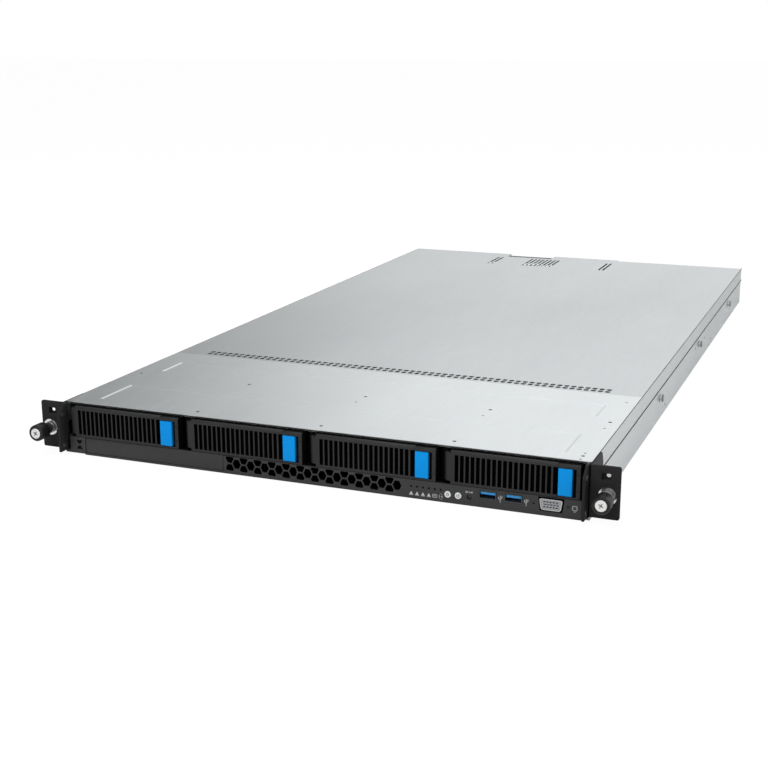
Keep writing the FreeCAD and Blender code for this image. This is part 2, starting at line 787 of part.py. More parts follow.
def drive_cage():
    """The shelf that carries the trays and the walls between them."""
    body = piece("drive_cage")
    gap = "seat_gap / 3"
    edge = f"{bay_middle(0)} + bay_pitch / 2"
    for side, front in ((f"({HALF} - steel - {gap})", f"ear_sheet + {gap}"),
                        (f"({HALF} - 2 * ear_sheet)", f"{STRIP_BACK} + {gap}")):
        block(body, (f"-{side}", side), (front, "cage_back"), ("shelf_top - cage_sheet", "shelf_top"))
    foot = block(body, (f"{edge} - shelf_foot / 2", f"{edge} + shelf_foot / 2"),
                 ("foot_front", "cage_back"), (f"steel + {gap}", "shelf_top - cage_sheet / 2"))
    repeat(body, foot, "X", "bay_pitch", "bay_count - 1")
    wall = block(body, (f"{edge} - cage_sheet / 2", f"{edge} + cage_sheet / 2"), ("cage_front", "cage_back"),
                 ("shelf_top - cage_sheet / 2", f"{WALL_TOP} - bead_depth"))
    repeat(body, wall, "X", "bay_pitch", "bay_count - 1")
    slot = block(body, (f"{bay_middle(0)} - shelf_slot_width / 2", f"{bay_middle(0)} + shelf_slot_width / 2"),
                 ("cage_front + shelf_slot_inset", "cage_back - shelf_slot_inset"),
                 ("shelf_top - 2 * cage_sheet", "shelf_top + cage_sheet"), cut=True)
    repeat(body, slot, "X", "bay_pitch", "bay_count")
    return body


def drive_tray(label, bay):
    """A drive carrier: side rails, the bars behind the lever, hinge pin and lamp pillar."""
    body = piece(label, x=bay_middle(bay))
    bar_front = "(hinge_y - hinge_lug)"
    bar_back = "(hinge_y + tray_bar_depth)"
    back = "face_front + tray_length"
    for inner, outer in (("tray_left + tray_rail", "tray_left"), ("tray_right - tray_rail", "tray_right")):
        side = [outer, inner] if outer == "tray_left" else [inner, outer]
        block(body, side, ("hinge_y", back), ("face_bottom", "tray_rail_top"))
    for low, high in (("face_bottom", "face_bottom + tray_bar"), ("face_top - tray_bar", "face_top")):
        block(body, ("hinge_x", "tray_right - tray_rail / 2"), (bar_front, bar_back), (low, high))
        block(body, ("tray_left", "hinge_x + steel"), ("hinge_y", bar_back), (low, high))
        cylinder(body, "XY", ("hinge_x", "hinge_y"), "hinge_lug", (low, high))
    prism(body, "YZ", [("face_front", "face_bottom"), (bar_back, "face_bottom"), (bar_back, "face_top"),
                       ("face_front + lever_chamfer", "face_top"), ("face_front", "face_top - lever_chamfer")],
          ("latch_left - lever_gap / 2", "tray_right"))
    block(body, ("latch_left - lever_gap", "latch_left + latch_width + latch_slit"),
          ("face_front - steel", "face_front + latch_depth + lever_gap"),
          ("latch_bottom - lever_gap", "latch_top + lever_gap"), cut=True)
    block(body, ("latch_left + latch_lip - lever_gap", "latch_left + latch_lip + stem_width + latch_slit"),
          ("face_front + latch_depth", f"{bar_back} + steel"),
          ("latch_middle - stem_height / 2 - lever_gap", "latch_middle + stem_height / 2 + lever_gap"),
          cut=True)
    for height in ("slot_bottom + lamp_inset", "slot_top - lamp_inset"):
        cylinder(body, "XZ", ("tray_right - lamp_edge", height), "lamp_hole",
                 ("face_front - steel", "face_front + lamp_depth"), cut=True)
    cylinder(body, "XY", ("hinge_x", "hinge_y"), "hinge_pin",
             ("face_bottom + tray_bar / 2", "face_top - tray_bar / 2"))
    hole = cylinder(body, "YZ", ("drive_front + screw_hole_inset", "face_bottom + screw_hole_height"),
                    "screw_hole_radius", ("tray_left - steel", "tray_right + steel"), cut=True)
    repeat(body, hole, "Y", "screw_hole_pitch", "3")
    return body


def tray_lever(label, bay):
    """The slotted front lever that swings out about the pin at its left end."""
    body = piece(label, x=bay_middle(bay))
    low, high = "face_bottom + tray_bar + lever_gap", "face_top - tray_bar - lever_gap"
    prism(body, "YZ", [("face_front", "face_bottom"), (FACE_BACK, "face_bottom"), (FACE_BACK, "face_top"),
                       ("face_front + lever_chamfer", "face_top"),
                       ("face_front", "face_top - lever_chamfer")], ("hinge_x", "lever_right"))
    cylinder(body, "XY", ("hinge_x", "hinge_y"), "hinge_y - face_front", (low, high))
    block(body, ("slot_first - slot_rib", "hinge_x + 2 * hinge_y"), (FACE_BACK, "hinge_y + 2 * hinge_y"),
          (low, high), cut=True)
    cylinder(body, "XY", ("hinge_x", "hinge_y"), "hinge_pin + shaft_gap",
             (f"{low} - steel", f"{high} + steel"), cut=True)
    slot = block(body, ("slot_first", "slot_first + slot_width"), ("face_front - steel", f"{FACE_BACK} + steel"),
                 ("slot_bottom", "slot_top"), cut=True)
    repeat(body, slot, "X", "slot_pitch", "slot_count")
    block(body, ("slot_first + slot_count * slot_pitch", "lever_right + steel"),
          ("face_front - steel", f"{FACE_BACK} + steel"), ("slot_bottom", "slot_top"), cut=True)
    return body


def drive_latch(label, bay):
    """The coloured catch beside the lever: a plate that slides aside on a stem."""
    body = piece(label, x=bay_middle(bay))
    block(body, ("latch_left", "latch_left + latch_width"),
          ("face_front - latch_proud", "face_front + latch_depth"), ("latch_bottom", "latch_top"))
    dress(body, "Chamfer", lambda edge: near(edge.BoundBox.YMax, "face_front - latch_proud"), "latch_bevel")
    block(body, ("latch_left + latch_lip", "latch_left + latch_lip + stem_width"),
          ("face_front + latch_depth / 2", "hinge_y + tray_bar_depth + steel / 2"),
          ("latch_middle - stem_height / 2", "latch_middle + stem_height / 2"))
    return body


def hard_drive(label, bay):
    """A 3.5 inch drive: cast body, pressed lid and the connector at its back."""
    body = piece(label, x=bay_middle(bay))
    left = "(tray_left + tray_rail + drive_side_gap)"
    low = "face_bottom"
    block(body, (left, f"{left} + drive_width"), ("drive_front", "drive_front + drive_length"),
          (low, f"{low} + drive_height - drive_lid"))
    dress(body, "Fillet", lambda edge: along(edge, Vector(0, 0, 1)), "drive_corner")
    inset = "drive_lid_inset"
    block(body, (f"{left} + {inset}", f"{left} + drive_width - {inset}"),
          (f"drive_front + {inset}", f"drive_front + drive_length - {inset}"),
          (f"{low} + drive_height - 2 * drive_lid", f"{low} + drive_height"))
    block(body, (f"{left} + 2 * {inset}", f"{left} + drive_width - 2 * {inset}"),
          (f"drive_front + 2 * {inset}", f"drive_front + drive_length - 2 * {inset}"),
          (f"{low} + drive_height - drive_lid / 2", f"{low} + drive_height + steel"), cut=True)
    block(body, (f"{left} + drive_port_left", f"{left} + drive_port_left + drive_port_width"),
          ("drive_front + drive_length - drive_port_depth", "drive_front + drive_length + steel"),
          (f"{low} - steel", f"{low} + drive_port_height"), cut=True)
    return body


# ---------------------------------------------------------------- strip under the bays

STRIP = ("face_front", STRIP_BACK)
THROUGH = ("face_front - steel", f"{STRIP_BACK} + steel")


def end_block():
    """The moulded block at the left end, with its two opposed pointed recesses."""
    body = piece("end_block")
    for depth, top in ((STRIP_BACK, "strip_top"), ("end_block_depth", "shelf_top - cage_sheet - seat_gap")):
        block(body, ("-strip_half", "end_block_right - seat_gap"), ("face_front", depth), ("strip_bottom", top))
    middle = "(strip_bottom + strip_top) / 2"
    for sign in ("+", "-"):
        prism(body, "XZ", [("mark_x - mark_width / 2", f"{middle} {sign} mark_far"),
                           ("mark_x - mark_neck / 2", f"{middle} {sign} mark_near"),
                           ("mark_x + mark_neck / 2", f"{middle} {sign} mark_near"),
                           ("mark_x + mark_width / 2", f"{middle} {sign} mark_far")],
              ("face_front - steel", "face_front + mark_depth"), cut=True)
    return body


def blank_plate():
    """The plain plate clipped over the unused bay beside the air intake."""
    body = piece("blank_plate")
    block(body, ("end_block_right", "blank_right - seat_gap"), STRIP, ("strip_bottom", "strip_top"))
    dress(body, "Chamfer", lambda edge: near(edge.BoundBox.YMax, "face_front"), "plate_bevel")
    for side in ("end_block_right + clip_inset", "blank_right - clip_inset - clip_width"):
        block(body, (side, f"{side} + clip_width"), ("face_front + strip_thick / 2", "clip_reach"),
              ("strip_bottom + clip_inset / 4", "strip_bottom + clip_inset / 4 + steel"))
    return body


def cut_honeycomb(body, first_full, full_count, first_split, split_count):
    """Cut the columns of the honeycomb: whole cells, and pairs cut off by the rims."""
    row = "(hex_side * sqrt(3))"
    column = "(1.5 * hex_side)"
    flats = f"({row} - hex_wall)"
    upper, lower = f"(hex_centre + {row} / 2)", f"(hex_centre - {row} / 2)"
    full_x = f"(hex_column + {first_full} * {column})"
    split_x = f"(hex_column + {first_split} * {column})"
    cells = (
        (hexagon(full_x, "hex_centre", flats), full_count),
        (hexagon(split_x, upper, flats, high="strip_top - grille_rim / 2"), split_count),
        (hexagon(split_x, lower, flats, low="strip_bottom + grille_rim"), split_count))
    for cell, count in cells:
        hole = prism(body, "XZ", cell, THROUGH, cut=True)
        repeat(body, hole, "X", f"2 * {column}", count)


def left_grille():
    """The left half of the honeycomb air intake."""
    body = piece("left_grille")
    block(body, ("blank_right", "grille_seam"), STRIP, ("strip_bottom", "strip_top"))
    cut_honeycomb(body, -10, 5, -11, 5)
    return body


def io_panel():
    """The control panel: the rest of the honeycomb, lamp holes, buttons, USB and video."""
    body = piece("io_panel")
    block(body, ("grille_seam + seat_gap / 3", "strip_half"), STRIP, ("strip_bottom", "strip_top"))
    cut_honeycomb(body, 0, 7, -1, 7)
    lamp = cylinder(body, "XZ", ("lamp_first", "lamp_height"), "lamp_radius", THROUGH, cut=True)
    repeat(body, lamp, "X", "lamp_pitch", "lamp_count")
    for x in ("power_x", "locate_x"):
        cylinder(body, "XZ", (x, "button_height"), "button_radius + button_gap", THROUGH, cut=True)
    cylinder(body, "XZ", ("reset_x", "button_height"), "reset_radius + button_gap", THROUGH, cut=True)
    port = block(body, ("usb_first - usb_width / 2 - button_gap", "usb_first + usb_width / 2 + button_gap"),
                 THROUGH, ("usb_centre - usb_height / 2 - button_gap", "usb_centre + usb_height / 2 + button_gap"),
                 cut=True)
    repeat(body, port, "X", "usb_pitch", "2")
    prism(body, "XZ", d_outline("button_gap + steel"), THROUGH, cut=True)
    hole = cylinder(body, "XZ", ("vga_x - vga_hole_span / 2", "vga_height"), "vga_hole_radius", THROUGH, cut=True)
    repeat(body, hole, "X", "vga_hole_span", "2")
    return body


def d_outline(grow="0"):
    """The D-shaped outline of the video socket, wider at the top."""
    half, tall = f"(vga_width / 2 + {grow})", f"(vga_tall / 2 + {grow})"
    return [(f"vga_x - {half} + vga_slant", f"vga_height - {tall}"),
            (f"vga_x + {half} - vga_slant", f"vga_height - {tall}"),
            (f"vga_x + {half}", f"vga_height + {tall}"), (f"vga_x - {half}", f"vga_height + {tall}")]


def vga_socket():
    """The video socket: flange behind the panel, D-shaped nose and fifteen contact holes."""
    body = piece("vga_socket")
    flange = (f"{STRIP_BACK} + seat_gap / 3", f"{STRIP_BACK} + steel")
    block(body, ("vga_x - vga_flange / 2", "vga_x + vga_flange / 2"), flange,
          ("vga_height - vga_tall / 2 - steel", "shelf_top - cage_sheet - seat_gap / 3"))
    prism(body, "XZ", d_outline(), ("face_front - vga_proud", f"{STRIP_BACK} + vga_length"))
    dress(body, "Fillet", lambda edge: along(edge, Vector(0, 1, 0))
          and near(edge.BoundBox.YMin, "face_front - vga_proud"), "vga_slant")
    hole = cylinder(body, "XZ", ("vga_x - vga_hole_span / 2", "vga_height"), "vga_hole_radius / 2",
                    (f"{STRIP_BACK} - steel", f"{STRIP_BACK} + 2 * steel"), cut=True)
    repeat(body, hole, "X", "vga_hole_span", "2")
    for row in (-1, 0, 1):
        x = f"vga_x - 2 * contact_pitch + {row % 2 * 2 - 1} * contact_pitch / 4"
        z = f"vga_height + {row} * contact_row"
        hole = block(body, (f"{x} - contact_hole / 2", f"{x} + contact_hole / 2"),
                     ("face_front - vga_proud - steel", "face_front"),
                     (f"{z} - contact_hole / 2", f"{z} + contact_hole / 2"), cut=True)
        repeat(body, hole, "X", "contact_pitch", "5")
    return body


def usb_place(grow):
    """The mouth of the first USB socket, grown or shrunk all round."""
    return rectangle(f"usb_first - usb_width / 2 - {grow}", f"usb_first + usb_width / 2 + {grow}",
                     f"usb_centre - usb_height / 2 - {grow}", f"usb_centre + usb_height / 2 + {grow}")


def usb_shells():
    """The two pressed steel shells of the front USB sockets."""
    body = piece("usb_shells")
    sketch = new_sketch(body, "XZ", "face_front - usb_wall")
    add_polygon(sketch, usb_place("0"))
    add_polygon(sketch, usb_place("-usb_wall"))
    shell = extrude(body, sketch, "XZ", ("face_front - usb_wall", "face_front + usb_length"), False)
    repeat(body, shell, "X", "usb_pitch", "2")
    return body


def usb_tongues():
    """The blue insulators: a block at the back of each shell and the contact tongue."""
    body = piece("usb_tongues")
    inner = "(usb_height / 2 - usb_wall)"
    heel = block(body, ("usb_first - usb_width / 2 + usb_wall", "usb_first + usb_width / 2 - usb_wall"),
                 ("face_front + tongue_reach", "face_front + usb_length"),
                 (f"usb_centre - {inner}", f"usb_centre + {inner}"))
    tongue = block(body, ("usb_first - tongue_width / 2", "usb_first + tongue_width / 2"),
                   ("face_front + steel", "face_front + usb_length - steel"),
                   (f"usb_centre + {inner} - tongue_gap - tongue_thick", f"usb_centre + {inner} - tongue_gap"))
    for part in (heel, tongue):
        repeat(body, part, "X", "usb_pitch", "2")
    return body


def panel_button(label, x, radius, front):
    """A push button with the collar that keeps it behind the panel."""
    body = piece(label, x=x, z="button_height")
    cylinder(body, "XZ", ("0", "0"), radius, (front, f"{STRIP_BACK} + button_length"))
    cylinder(body, "XZ", ("0", "0"), f"{radius} + steel",
             (f"{STRIP_BACK} + seat_gap", f"{STRIP_BACK} + seat_gap + steel"))
    if radius == "button_radius":
        dress(body, "Fillet", lambda edge: near(edge.BoundBox.YMin, front) and near(edge.BoundBox.YMax, front),
              "button_round")
    return body


def front_board():
    """The board behind the control panel, cut out round the buttons and the video socket."""
    body = piece("front_board")
    top = "(usb_centre - usb_height / 2)"
    level = (f"{top} - board_thick", top)
    block(body, ("grille_right + board_side_gap", "strip_half - board_side_gap"),
          (f"{STRIP_BACK} + steel", "front_board_back"), level)
    block(body, ("grille_right", "reset_x + 2 * button_radius"), ("face_front", "switch_front"),
          (f"{top} - 2 * board_thick", f"{top} + steel"), cut=True)
    block(body, ("vga_x - vga_flange / 2 - steel", "strip_half"), ("face_front", f"{STRIP_BACK} + vga_length + steel"),
          (f"{top} - 2 * board_thick", f"{top} + steel"), cut=True)
    for x in ("power_x", "locate_x", "reset_x"):
        block(body, (f"{x} - button_radius", f"{x} + button_radius"), ("switch_front", "switch_front + switch_depth"),
              (f"{top} - board_thick / 2", f"{top} + button_radius"))
    block(body, ("lamp_first - lamp_pitch / 2", "lamp_first + (lamp_count - 1 / 2) * lamp_pitch"),
          ("switch_front", "switch_front + switch_depth"), (f"{top} - board_thick / 2", "lamp_height + lamp_radius"))
    return body


# ---------------------------------------------------------------- inside the case

def drive_backplane():
    """The upright board behind the bays, open between the sockets for the air."""
    body = piece("drive_backplane")
    back = ("backplane_y", "backplane_y + board_thick")
    edge = f"({HALF} - steel - board_side_gap)"
    block(body, (f"-{edge}", edge), back, ("shelf_top + seat_gap", f"{WALL_TOP} - board_side_gap"))
    window = block(body, (f"{bay_middle(0)} + plane_window_inset",
                          f"{bay_middle(0)} + plane_window_inset + plane_window_width"),
                   ("backplane_y - steel", "backplane_y + board_thick + steel"),
                   ("plane_window_bottom", f"{WALL_TOP} - 2 * board_side_gap"), cut=True)
    repeat(body, window, "X", "bay_pitch", "bay_count")
    left = "(tray_left + tray_rail + drive_side_gap + drive_port_left)"
    plug = block(body, (f"{bay_middle(0)} + {left} + seat_gap",
                        f"{bay_middle(0)} + {left} + drive_port_width - seat_gap"),
                 ("drive_front + drive_length + seat_gap", "backplane_y + board_thick / 2"),
                 ("face_bottom + seat_gap", "face_bottom + drive_port_height"))
    repeat(body, plug, "X", "bay_pitch", "bay_count")
    return body


def fan_cage():
    """The folded bracket that stands between the fans."""
    body = piece("fan_cage")
    first = "(-(fan_count - 1) / 2 * fan_pitch)"
    y = ("fan_y - fan_cage_margin", "fan_y + fan_depth + fan_cage_margin")
    block(body, (f"{first} - fan_pitch / 2", f"-{first} + fan_pitch / 2"), y, ("steel", "steel + cage_sheet"))
    wall = block(body, (f"{first} - fan_pitch / 2", f"{first} - fan_pitch / 2 + cage_sheet"), y,
                 ("steel", "fan_size - fan_cage_margin"))
    repeat(body, wall, "X", "fan_pitch - cage_sheet / fan_count", "fan_count + 1")
    return body


def fan_place(fan):
    """The middle of a fan, counted from the left."""
    return f"({fan} - (fan_count - 1) / 2) * fan_pitch"


FAN_AXIS = "(steel + cage_sheet + seat_gap / 3 + fan_size / 2)"


def fan_frames():
    """The square fan housings: a round duct, rounded corners, three struts and a motor seat."""
    body = piece("fan_frames", x=fan_place(0), z=FAN_AXIS)
    half = "fan_size / 2"
    frame = block(body, (f"-{half}", half), ("fan_y", "fan_y + fan_depth"), (f"-{half}", half))
    duct = cylinder(body, "XZ", ("0", "0"), "fan_bore", ("fan_y - steel", "fan_y + fan_depth + steel"), cut=True)
    seat = cylinder(body, "XZ", ("0", "0"), "fan_hub", ("fan_y + fan_depth - strut_depth", "fan_y + fan_depth"))
    arms = [block(body, low_x, ("fan_y + fan_depth - strut_depth", "fan_y + fan_depth"), low_z)
            for low_x, low_z in (((f"-{half} + steel", "-fan_hub / 2"), ("-strut_width / 2", "strut_width / 2")),
                                 (("fan_hub / 2", f"{half} - steel"), ("-strut_width / 2", "strut_width / 2")),
                                 (("-strut_width / 2", "strut_width / 2"), (f"-{half} + steel", "-fan_hub / 2")))]
    axle = cylinder(body, "XZ", ("0", "0"), "axle_radius",
                    ("fan_y + rotor_inset + steel + seat_gap", "fan_y + fan_depth - strut_depth / 2"))
    row = body.newObject("PartDesign::LinearPattern", "fan_frames_row")
    row.Originals = [frame, duct, seat] + arms + [axle]
    row.Direction = (origin_part(body, "X_Axis"), [""])
    row.Mode = "Spacing"
    row.setExpression("Offset", bound("fan_pitch"))
    row.setExpression("Occurrences", bound("fan_count"))
    body.Tip = row
    return body


def rotor(body, front, depth, hub, tip, blades, bore):
    """Hub, twisted blades and blind bore of a fan rotor whose axis is the body's Y axis."""
    cylinder(body, "XZ", ("0", "0"), hub, (front, f"{front} + {depth}"))
    middle = f"({front} + {depth} / 2)"
    sections = []
    for height, pitch in ((f"{hub} - steel", "blade_pitch_root"), (tip, "blade_pitch_tip")):
        run = f"({depth} / 2 - seat_gap)"
        lean = f"({run} / tan({pitch} * 1 deg))"
        half = f"(blade_thick / 2 / sin({pitch} * 1 deg))"
        sketch = new_sketch(body, "XY", height)
        add_polygon(sketch, [(f"-{lean} - {half}", f"{middle} - {run}"), (f"-{lean} + {half}", f"{middle} - {run}"),
                             (f"{lean} + {half}", f"{middle} + {run}"), (f"{lean} - {half}", f"{middle} + {run}")])
        sections.append(sketch)
    blade = body.newObject("PartDesign::AdditiveLoft", f"{body.Label}_blade")
    blade.Profile = sections[0]
    blade.Sections = sections[1:]
    blade.Ruled = True
    doc.recompute()
    ring_of(body, blade, "Y", blades)
    cylinder(body, "XZ", ("0", "0"), f"2 * {tip}", (f"{front} - steel", f"{front} + {depth} + steel"),
             cut=True, bore=tip)
    cylinder(body, "XZ", ("0", "0"), "axle_radius + shaft_gap", bore, cut=True)


def fan_rotor(label, fan):
    """One fan's rotor."""
    body = piece(label, x=fan_place(fan), z=FAN_AXIS)
    front = "fan_y + rotor_inset"
    rotor(body, front, "blade_length", "fan_hub", "blade_tip", "blade_count",
          (f"{front} + steel", f"{front} + blade_length + steel"))
    return body


def motherboard():
    """The L-shaped main board with its memory sockets, processor seats and edge sockets."""
    body = piece("motherboard")
    side = f"({WALL_IN} - board_side_gap)"
    back = f"{REAR} - 3 * steel"
    step = (f"{PSU_WALL_X} - psu_wall - board_side_gap", f"{PSU_FRONT} - board_side_gap")
    prism(body, "XY", [(f"-{side}", "board_front"), (side, "board_front"), (side, step[1]), step,
                       (step[0], back), (f"-{side}", back)], (BOARD_LOW, BOARD_TOP))
    for first in memory_groups():
        socket = block(body, (f"{first} - socket_width / 2", f"{first} + socket_width / 2"),
                       ("memory_front", "memory_front + socket_length"),
                       (f"{BOARD_TOP} - board_thick / 2", f"{BOARD_TOP} + socket_height"))
        repeat(body, socket, "X", "memory_pitch", "memory_per_group")
    for first in memory_groups():
        slit = block(body, (f"{first} - module_thick / 2 - seat_gap / 6", f"{first} + module_thick / 2 + seat_gap / 6"),
                     ("memory_front + (socket_length - module_length) / 2 - seat_gap",
                      "memory_front + (socket_length + module_length) / 2 + seat_gap"),
                     (f"{BOARD_TOP} + module_seat", f"{BOARD_TOP} + socket_height + steel"), cut=True)
        repeat(body, slit, "X", "memory_pitch", "memory_per_group")
    for place in ("-sink_x", "sink_x"):
        block(body, (f"{place} - sink_width / 3", f"{place} + sink_width / 3"),
              ("sink_front + sink_length / 6", "sink_front + sink_length * 5 / 6"),
              (f"{BOARD_TOP} - board_thick / 2", f"{BOARD_TOP} + socket_height"))
    for supply in range(SIZES["psu_count"]):
        block(body, (f"{psu_middle(supply)} - edge_socket / 2", f"{psu_middle(supply)} + edge_socket / 2"),
              (f"{step[1]} - edge_socket_depth", step[1]), (f"{BOARD_TOP} - board_thick / 2", f"{BOARD_TOP} + socket_height"))
    return body


def memory_groups():
    """The first module's middle in each of the four groups, from the left."""
    span = "(memory_per_group - 1) * memory_pitch"
    return (f"-memory_outer - {span}", f"-memory_first - {span}", "memory_first", "memory_outer")


def memory_modules():
    """The memory modules, standing in their sockets."""
    body = piece("memory_modules")
    for first in memory_groups():
        module = block(body, (f"{first} - module_thick / 2", f"{first} + module_thick / 2"),
                       ("memory_front + (socket_length - module_length) / 2",
                        "memory_front + (socket_length + module_length) / 2"),
                       (f"{BOARD_TOP} + module_seat + seat_gap / 3", f"{BOARD_TOP} + module_seat + module_height"))
        repeat(body, module, "X", "memory_pitch", "memory_per_group")
    return body


def heat_sinks():
    """The two processor heat sinks: a base plate with straight fins along the air flow."""
    body = piece("heat_sinks")
    low = f"({BOARD_TOP} + socket_height)"
    y = ("sink_front", "sink_front + sink_length")
    for place in ("-sink_x", "sink_x"):
        block(body, (f"{place} - sink_width / 2", f"{place} + sink_width / 2"), y, (low, f"{low} + sink_base"))
        left = f"{place} - sink_width / 2"
        fin = block(body, (left, f"{left} + fin_thick"), y, (f"{low} + sink_base / 2", "sink_top"))
        repeat(body, fin, "X", "(sink_width - fin_thick) / (sink_fins - 1)", "sink_fins")
    return body


# ---------------------------------------------------------------- rear

def riser_card():
    """The upright card beside the expansion slot, with the slot's socket on its side."""
    body = piece("riser_card")
    back = f"{REAR} - riser_back_gap"
    y = (f"{back} - riser_length", back)
    block(body, ("riser_x", "riser_x + board_thick"), y, (f"{BOARD_TOP}", f"{WALL_TOP} - board_side_gap"))
    block(body, ("riser_x - riser_socket_depth", "riser_x + board_thick / 2"),
          (f"{back} - riser_length + riser_socket_inset", f"{back} - riser_socket_inset"),
          ("riser_socket_low", "riser_socket_low + socket_width"))
    return body


def slot_covers():
    """The two vented plates over the empty card positions in the rear wall."""
    body = piece("slot_covers")
    y = (f"{REAR} - 2 * steel - seat_gap / 3", f"{REAR} - steel - seat_gap / 3")
    cut = (f"{REAR} - 3 * steel", REAR)
    for name in ("slot_cover", "card_cover"):
        block(body, (f"{name}_left - steel", f"{name}_right + steel"), y,
              (f"{name}_bottom - steel", f"{name}_top + steel"))
    for name, columns, rows in (("slot_cover", "slot_vent_columns", "slot_vent_rows"),
                                ("card_cover", "card_vent_columns", "card_vent_rows")):
        middle, height = f"({name}_left + {name}_right) / 2", f"({name}_bottom + {name}_top) / 2"
        across = f"{middle} - ({columns} - 1) / 2 * rear_vent_pitch"
        sketch = new_sketch(body, "XZ", cut[0])
        for row in range(SIZES[rows]):
            up = f"{height} + ({row} - ({rows} - 1) / 2) * rear_vent_pitch"
            add_polygon(sketch, hexagon(across, up, "rear_vent_width"))
        repeat(body, extrude(body, sketch, "XZ", cut, True), "X", "rear_vent_pitch", columns)
    return body


def rear_ports():
    """The shielded network sockets at the rear, open at the back."""
    body = piece("rear_ports")
    half = "port_width / 2"
    shell = block(body, (f"port_first - {half}", f"port_first + {half}"),
                  (f"{REAR} - port_length + port_proud", f"{REAR} + port_proud"),
                  (BOARD_TOP, f"{BOARD_TOP} + port_height"))
    mouth_low = f"{BOARD_TOP} + port_mouth_low"
    mouth = block(body, ("port_first - port_mouth_width / 2", "port_first + port_mouth_width / 2"),
                  (f"{REAR} + port_proud - port_mouth_depth", f"{REAR} + port_proud + steel"),
                  (mouth_low, f"{mouth_low} + port_mouth_height"), cut=True)
    key = block(body, ("port_first - port_key / 2", "port_first + port_key / 2"),
                (f"{REAR} + port_proud - port_mouth_depth / 2", f"{REAR} + port_proud + steel"),
                (f"{BOARD_TOP} + steel", f"{mouth_low} + steel"), cut=True)
    row = body.newObject("PartDesign::LinearPattern", "rear_ports_row")
    row.Originals = [shell, mouth, key]
    row.Direction = (origin_part(body, "X_Axis"), [""])
    row.Mode = "Spacing"
    row.setExpression("Offset", bound("port_pitch"))
    row.setExpression("Occurrences", bound("port_count"))
    body.Tip = row
    return body


def psu_middle(supply):
    """The middle of a power supply, counted from the left."""
    return (f"({PSU_WALL_X} + psu_side_gap + psu_width / 2"
            f" + {supply} * (psu_width + 2 * psu_side_gap + psu_wall))")


def psu_place(supply):
    """Where a power supply's own zero lies."""
    return {"x": psu_middle(supply), "y": REAR, "z": PSU_LOW}


def power_supply(label, supply):
    """A power supply's case: fan duct and grille, power inlet, latch slot and pull handle."""
    body = piece(label, **psu_place(supply))
    side = "psu_width / 2"
    middle = "psu_height / 2"
    block(body, (f"-{side}", side), ("-psu_length", "0"), ("0", "psu_height"))
    cylinder(body, "XZ", ("psu_fan_x", middle), "psu_fan_bore", ("-psu_fan_depth", "steel"), cut=True)
    for index in (-1, 0, 1):
        at = f"{index} * psu_fan_bore / 2"
        block(body, ("psu_fan_x - psu_fan_bore - steel / 2", "psu_fan_x + psu_fan_bore + steel / 2"), ("-steel", "0"),
              (f"{middle} + {at} - psu_grille_bar / 2", f"{middle} + {at} + psu_grille_bar / 2"))
    block(body, ("psu_fan_x - psu_grille_bar / 2", "psu_fan_x + psu_grille_bar / 2"), ("-steel", "0"),
          (f"{middle} - psu_fan_bore - steel / 2", f"{middle} + psu_fan_bore + steel / 2"))
    cylinder(body, "XZ", ("psu_fan_x", middle), "axle_radius", ("-psu_fan_depth - steel", "psu_axle_end"))
    wide, tall = "inlet_width / 2", "inlet_height / 2"
    prism(body, "XZ", [(f"inlet_x - {wide}", f"inlet_z - {tall}"), (f"inlet_x + {wide}", f"inlet_z - {tall}"),
                       (f"inlet_x + {wide}", f"inlet_z + {tall} - inlet_corner"),
                       (f"inlet_x + {wide} - inlet_corner", f"inlet_z + {tall}"),
                       (f"inlet_x - {wide} + inlet_corner", f"inlet_z + {tall}"),
                       (f"inlet_x - {wide}", f"inlet_z + {tall} - inlet_corner")],
          ("-inlet_depth", "steel"), cut=True)
    for x, z in (("-inlet_pin_step", "-inlet_pin_drop"), ("0", "inlet_pin_drop"), ("inlet_pin_step", "-inlet_pin_drop")):
        block(body, (f"inlet_x + {x} - inlet_pin_width / 2", f"inlet_x + {x} + inlet_pin_width / 2"),
              ("-inlet_depth - steel", "-steel"),
              (f"inlet_z + {z} - inlet_pin_height / 2", f"inlet_z + {z} + inlet_pin_height / 2"))
    block(body, ("psu_latch_x - psu_latch_room", "psu_latch_x + psu_latch_thick + steel"),
          ("-psu_latch_root - steel", "steel"),
          ("psu_latch_bottom - seat_gap", "psu_latch_bottom + psu_latch_height + seat_gap"), cut=True)
    cylinder(body, "XY", ("psu_latch_x + psu_latch_thick / 2", "psu_latch_thick - psu_latch_root"), "latch_pin",
             ("psu_latch_bottom - steel", "psu_latch_bottom + psu_latch_height + steel"))
    low = f"({middle} - psu_handle_height / 2)"
    high = f"({middle} + psu_handle_height / 2)"
    x = ("psu_handle_x - psu_handle_thick / 2", "psu_handle_x + psu_handle_thick / 2")
    sketch = new_sketch(body, "YZ", x[0])
    add_polygon(sketch, [("-steel", low), ("psu_handle_reach - psu_handle_bar", low),
                         ("psu_handle_reach", f"{low} + psu_handle_bar"),
                         ("psu_handle_reach", f"{high} - psu_handle_bar"),
                         ("psu_handle_reach - psu_handle_bar", high), ("-steel", high)])
    add_polygon(sketch, [("steel", f"{low} + psu_handle_bar"), ("psu_handle_reach - psu_handle_bar", f"{low} + psu_handle_bar"),
                         ("psu_handle_reach - psu_handle_bar", f"{high} - psu_handle_bar"),
                         ("steel", f"{high} - psu_handle_bar")])
    extrude(body, sketch, "YZ", x, False)
    return body


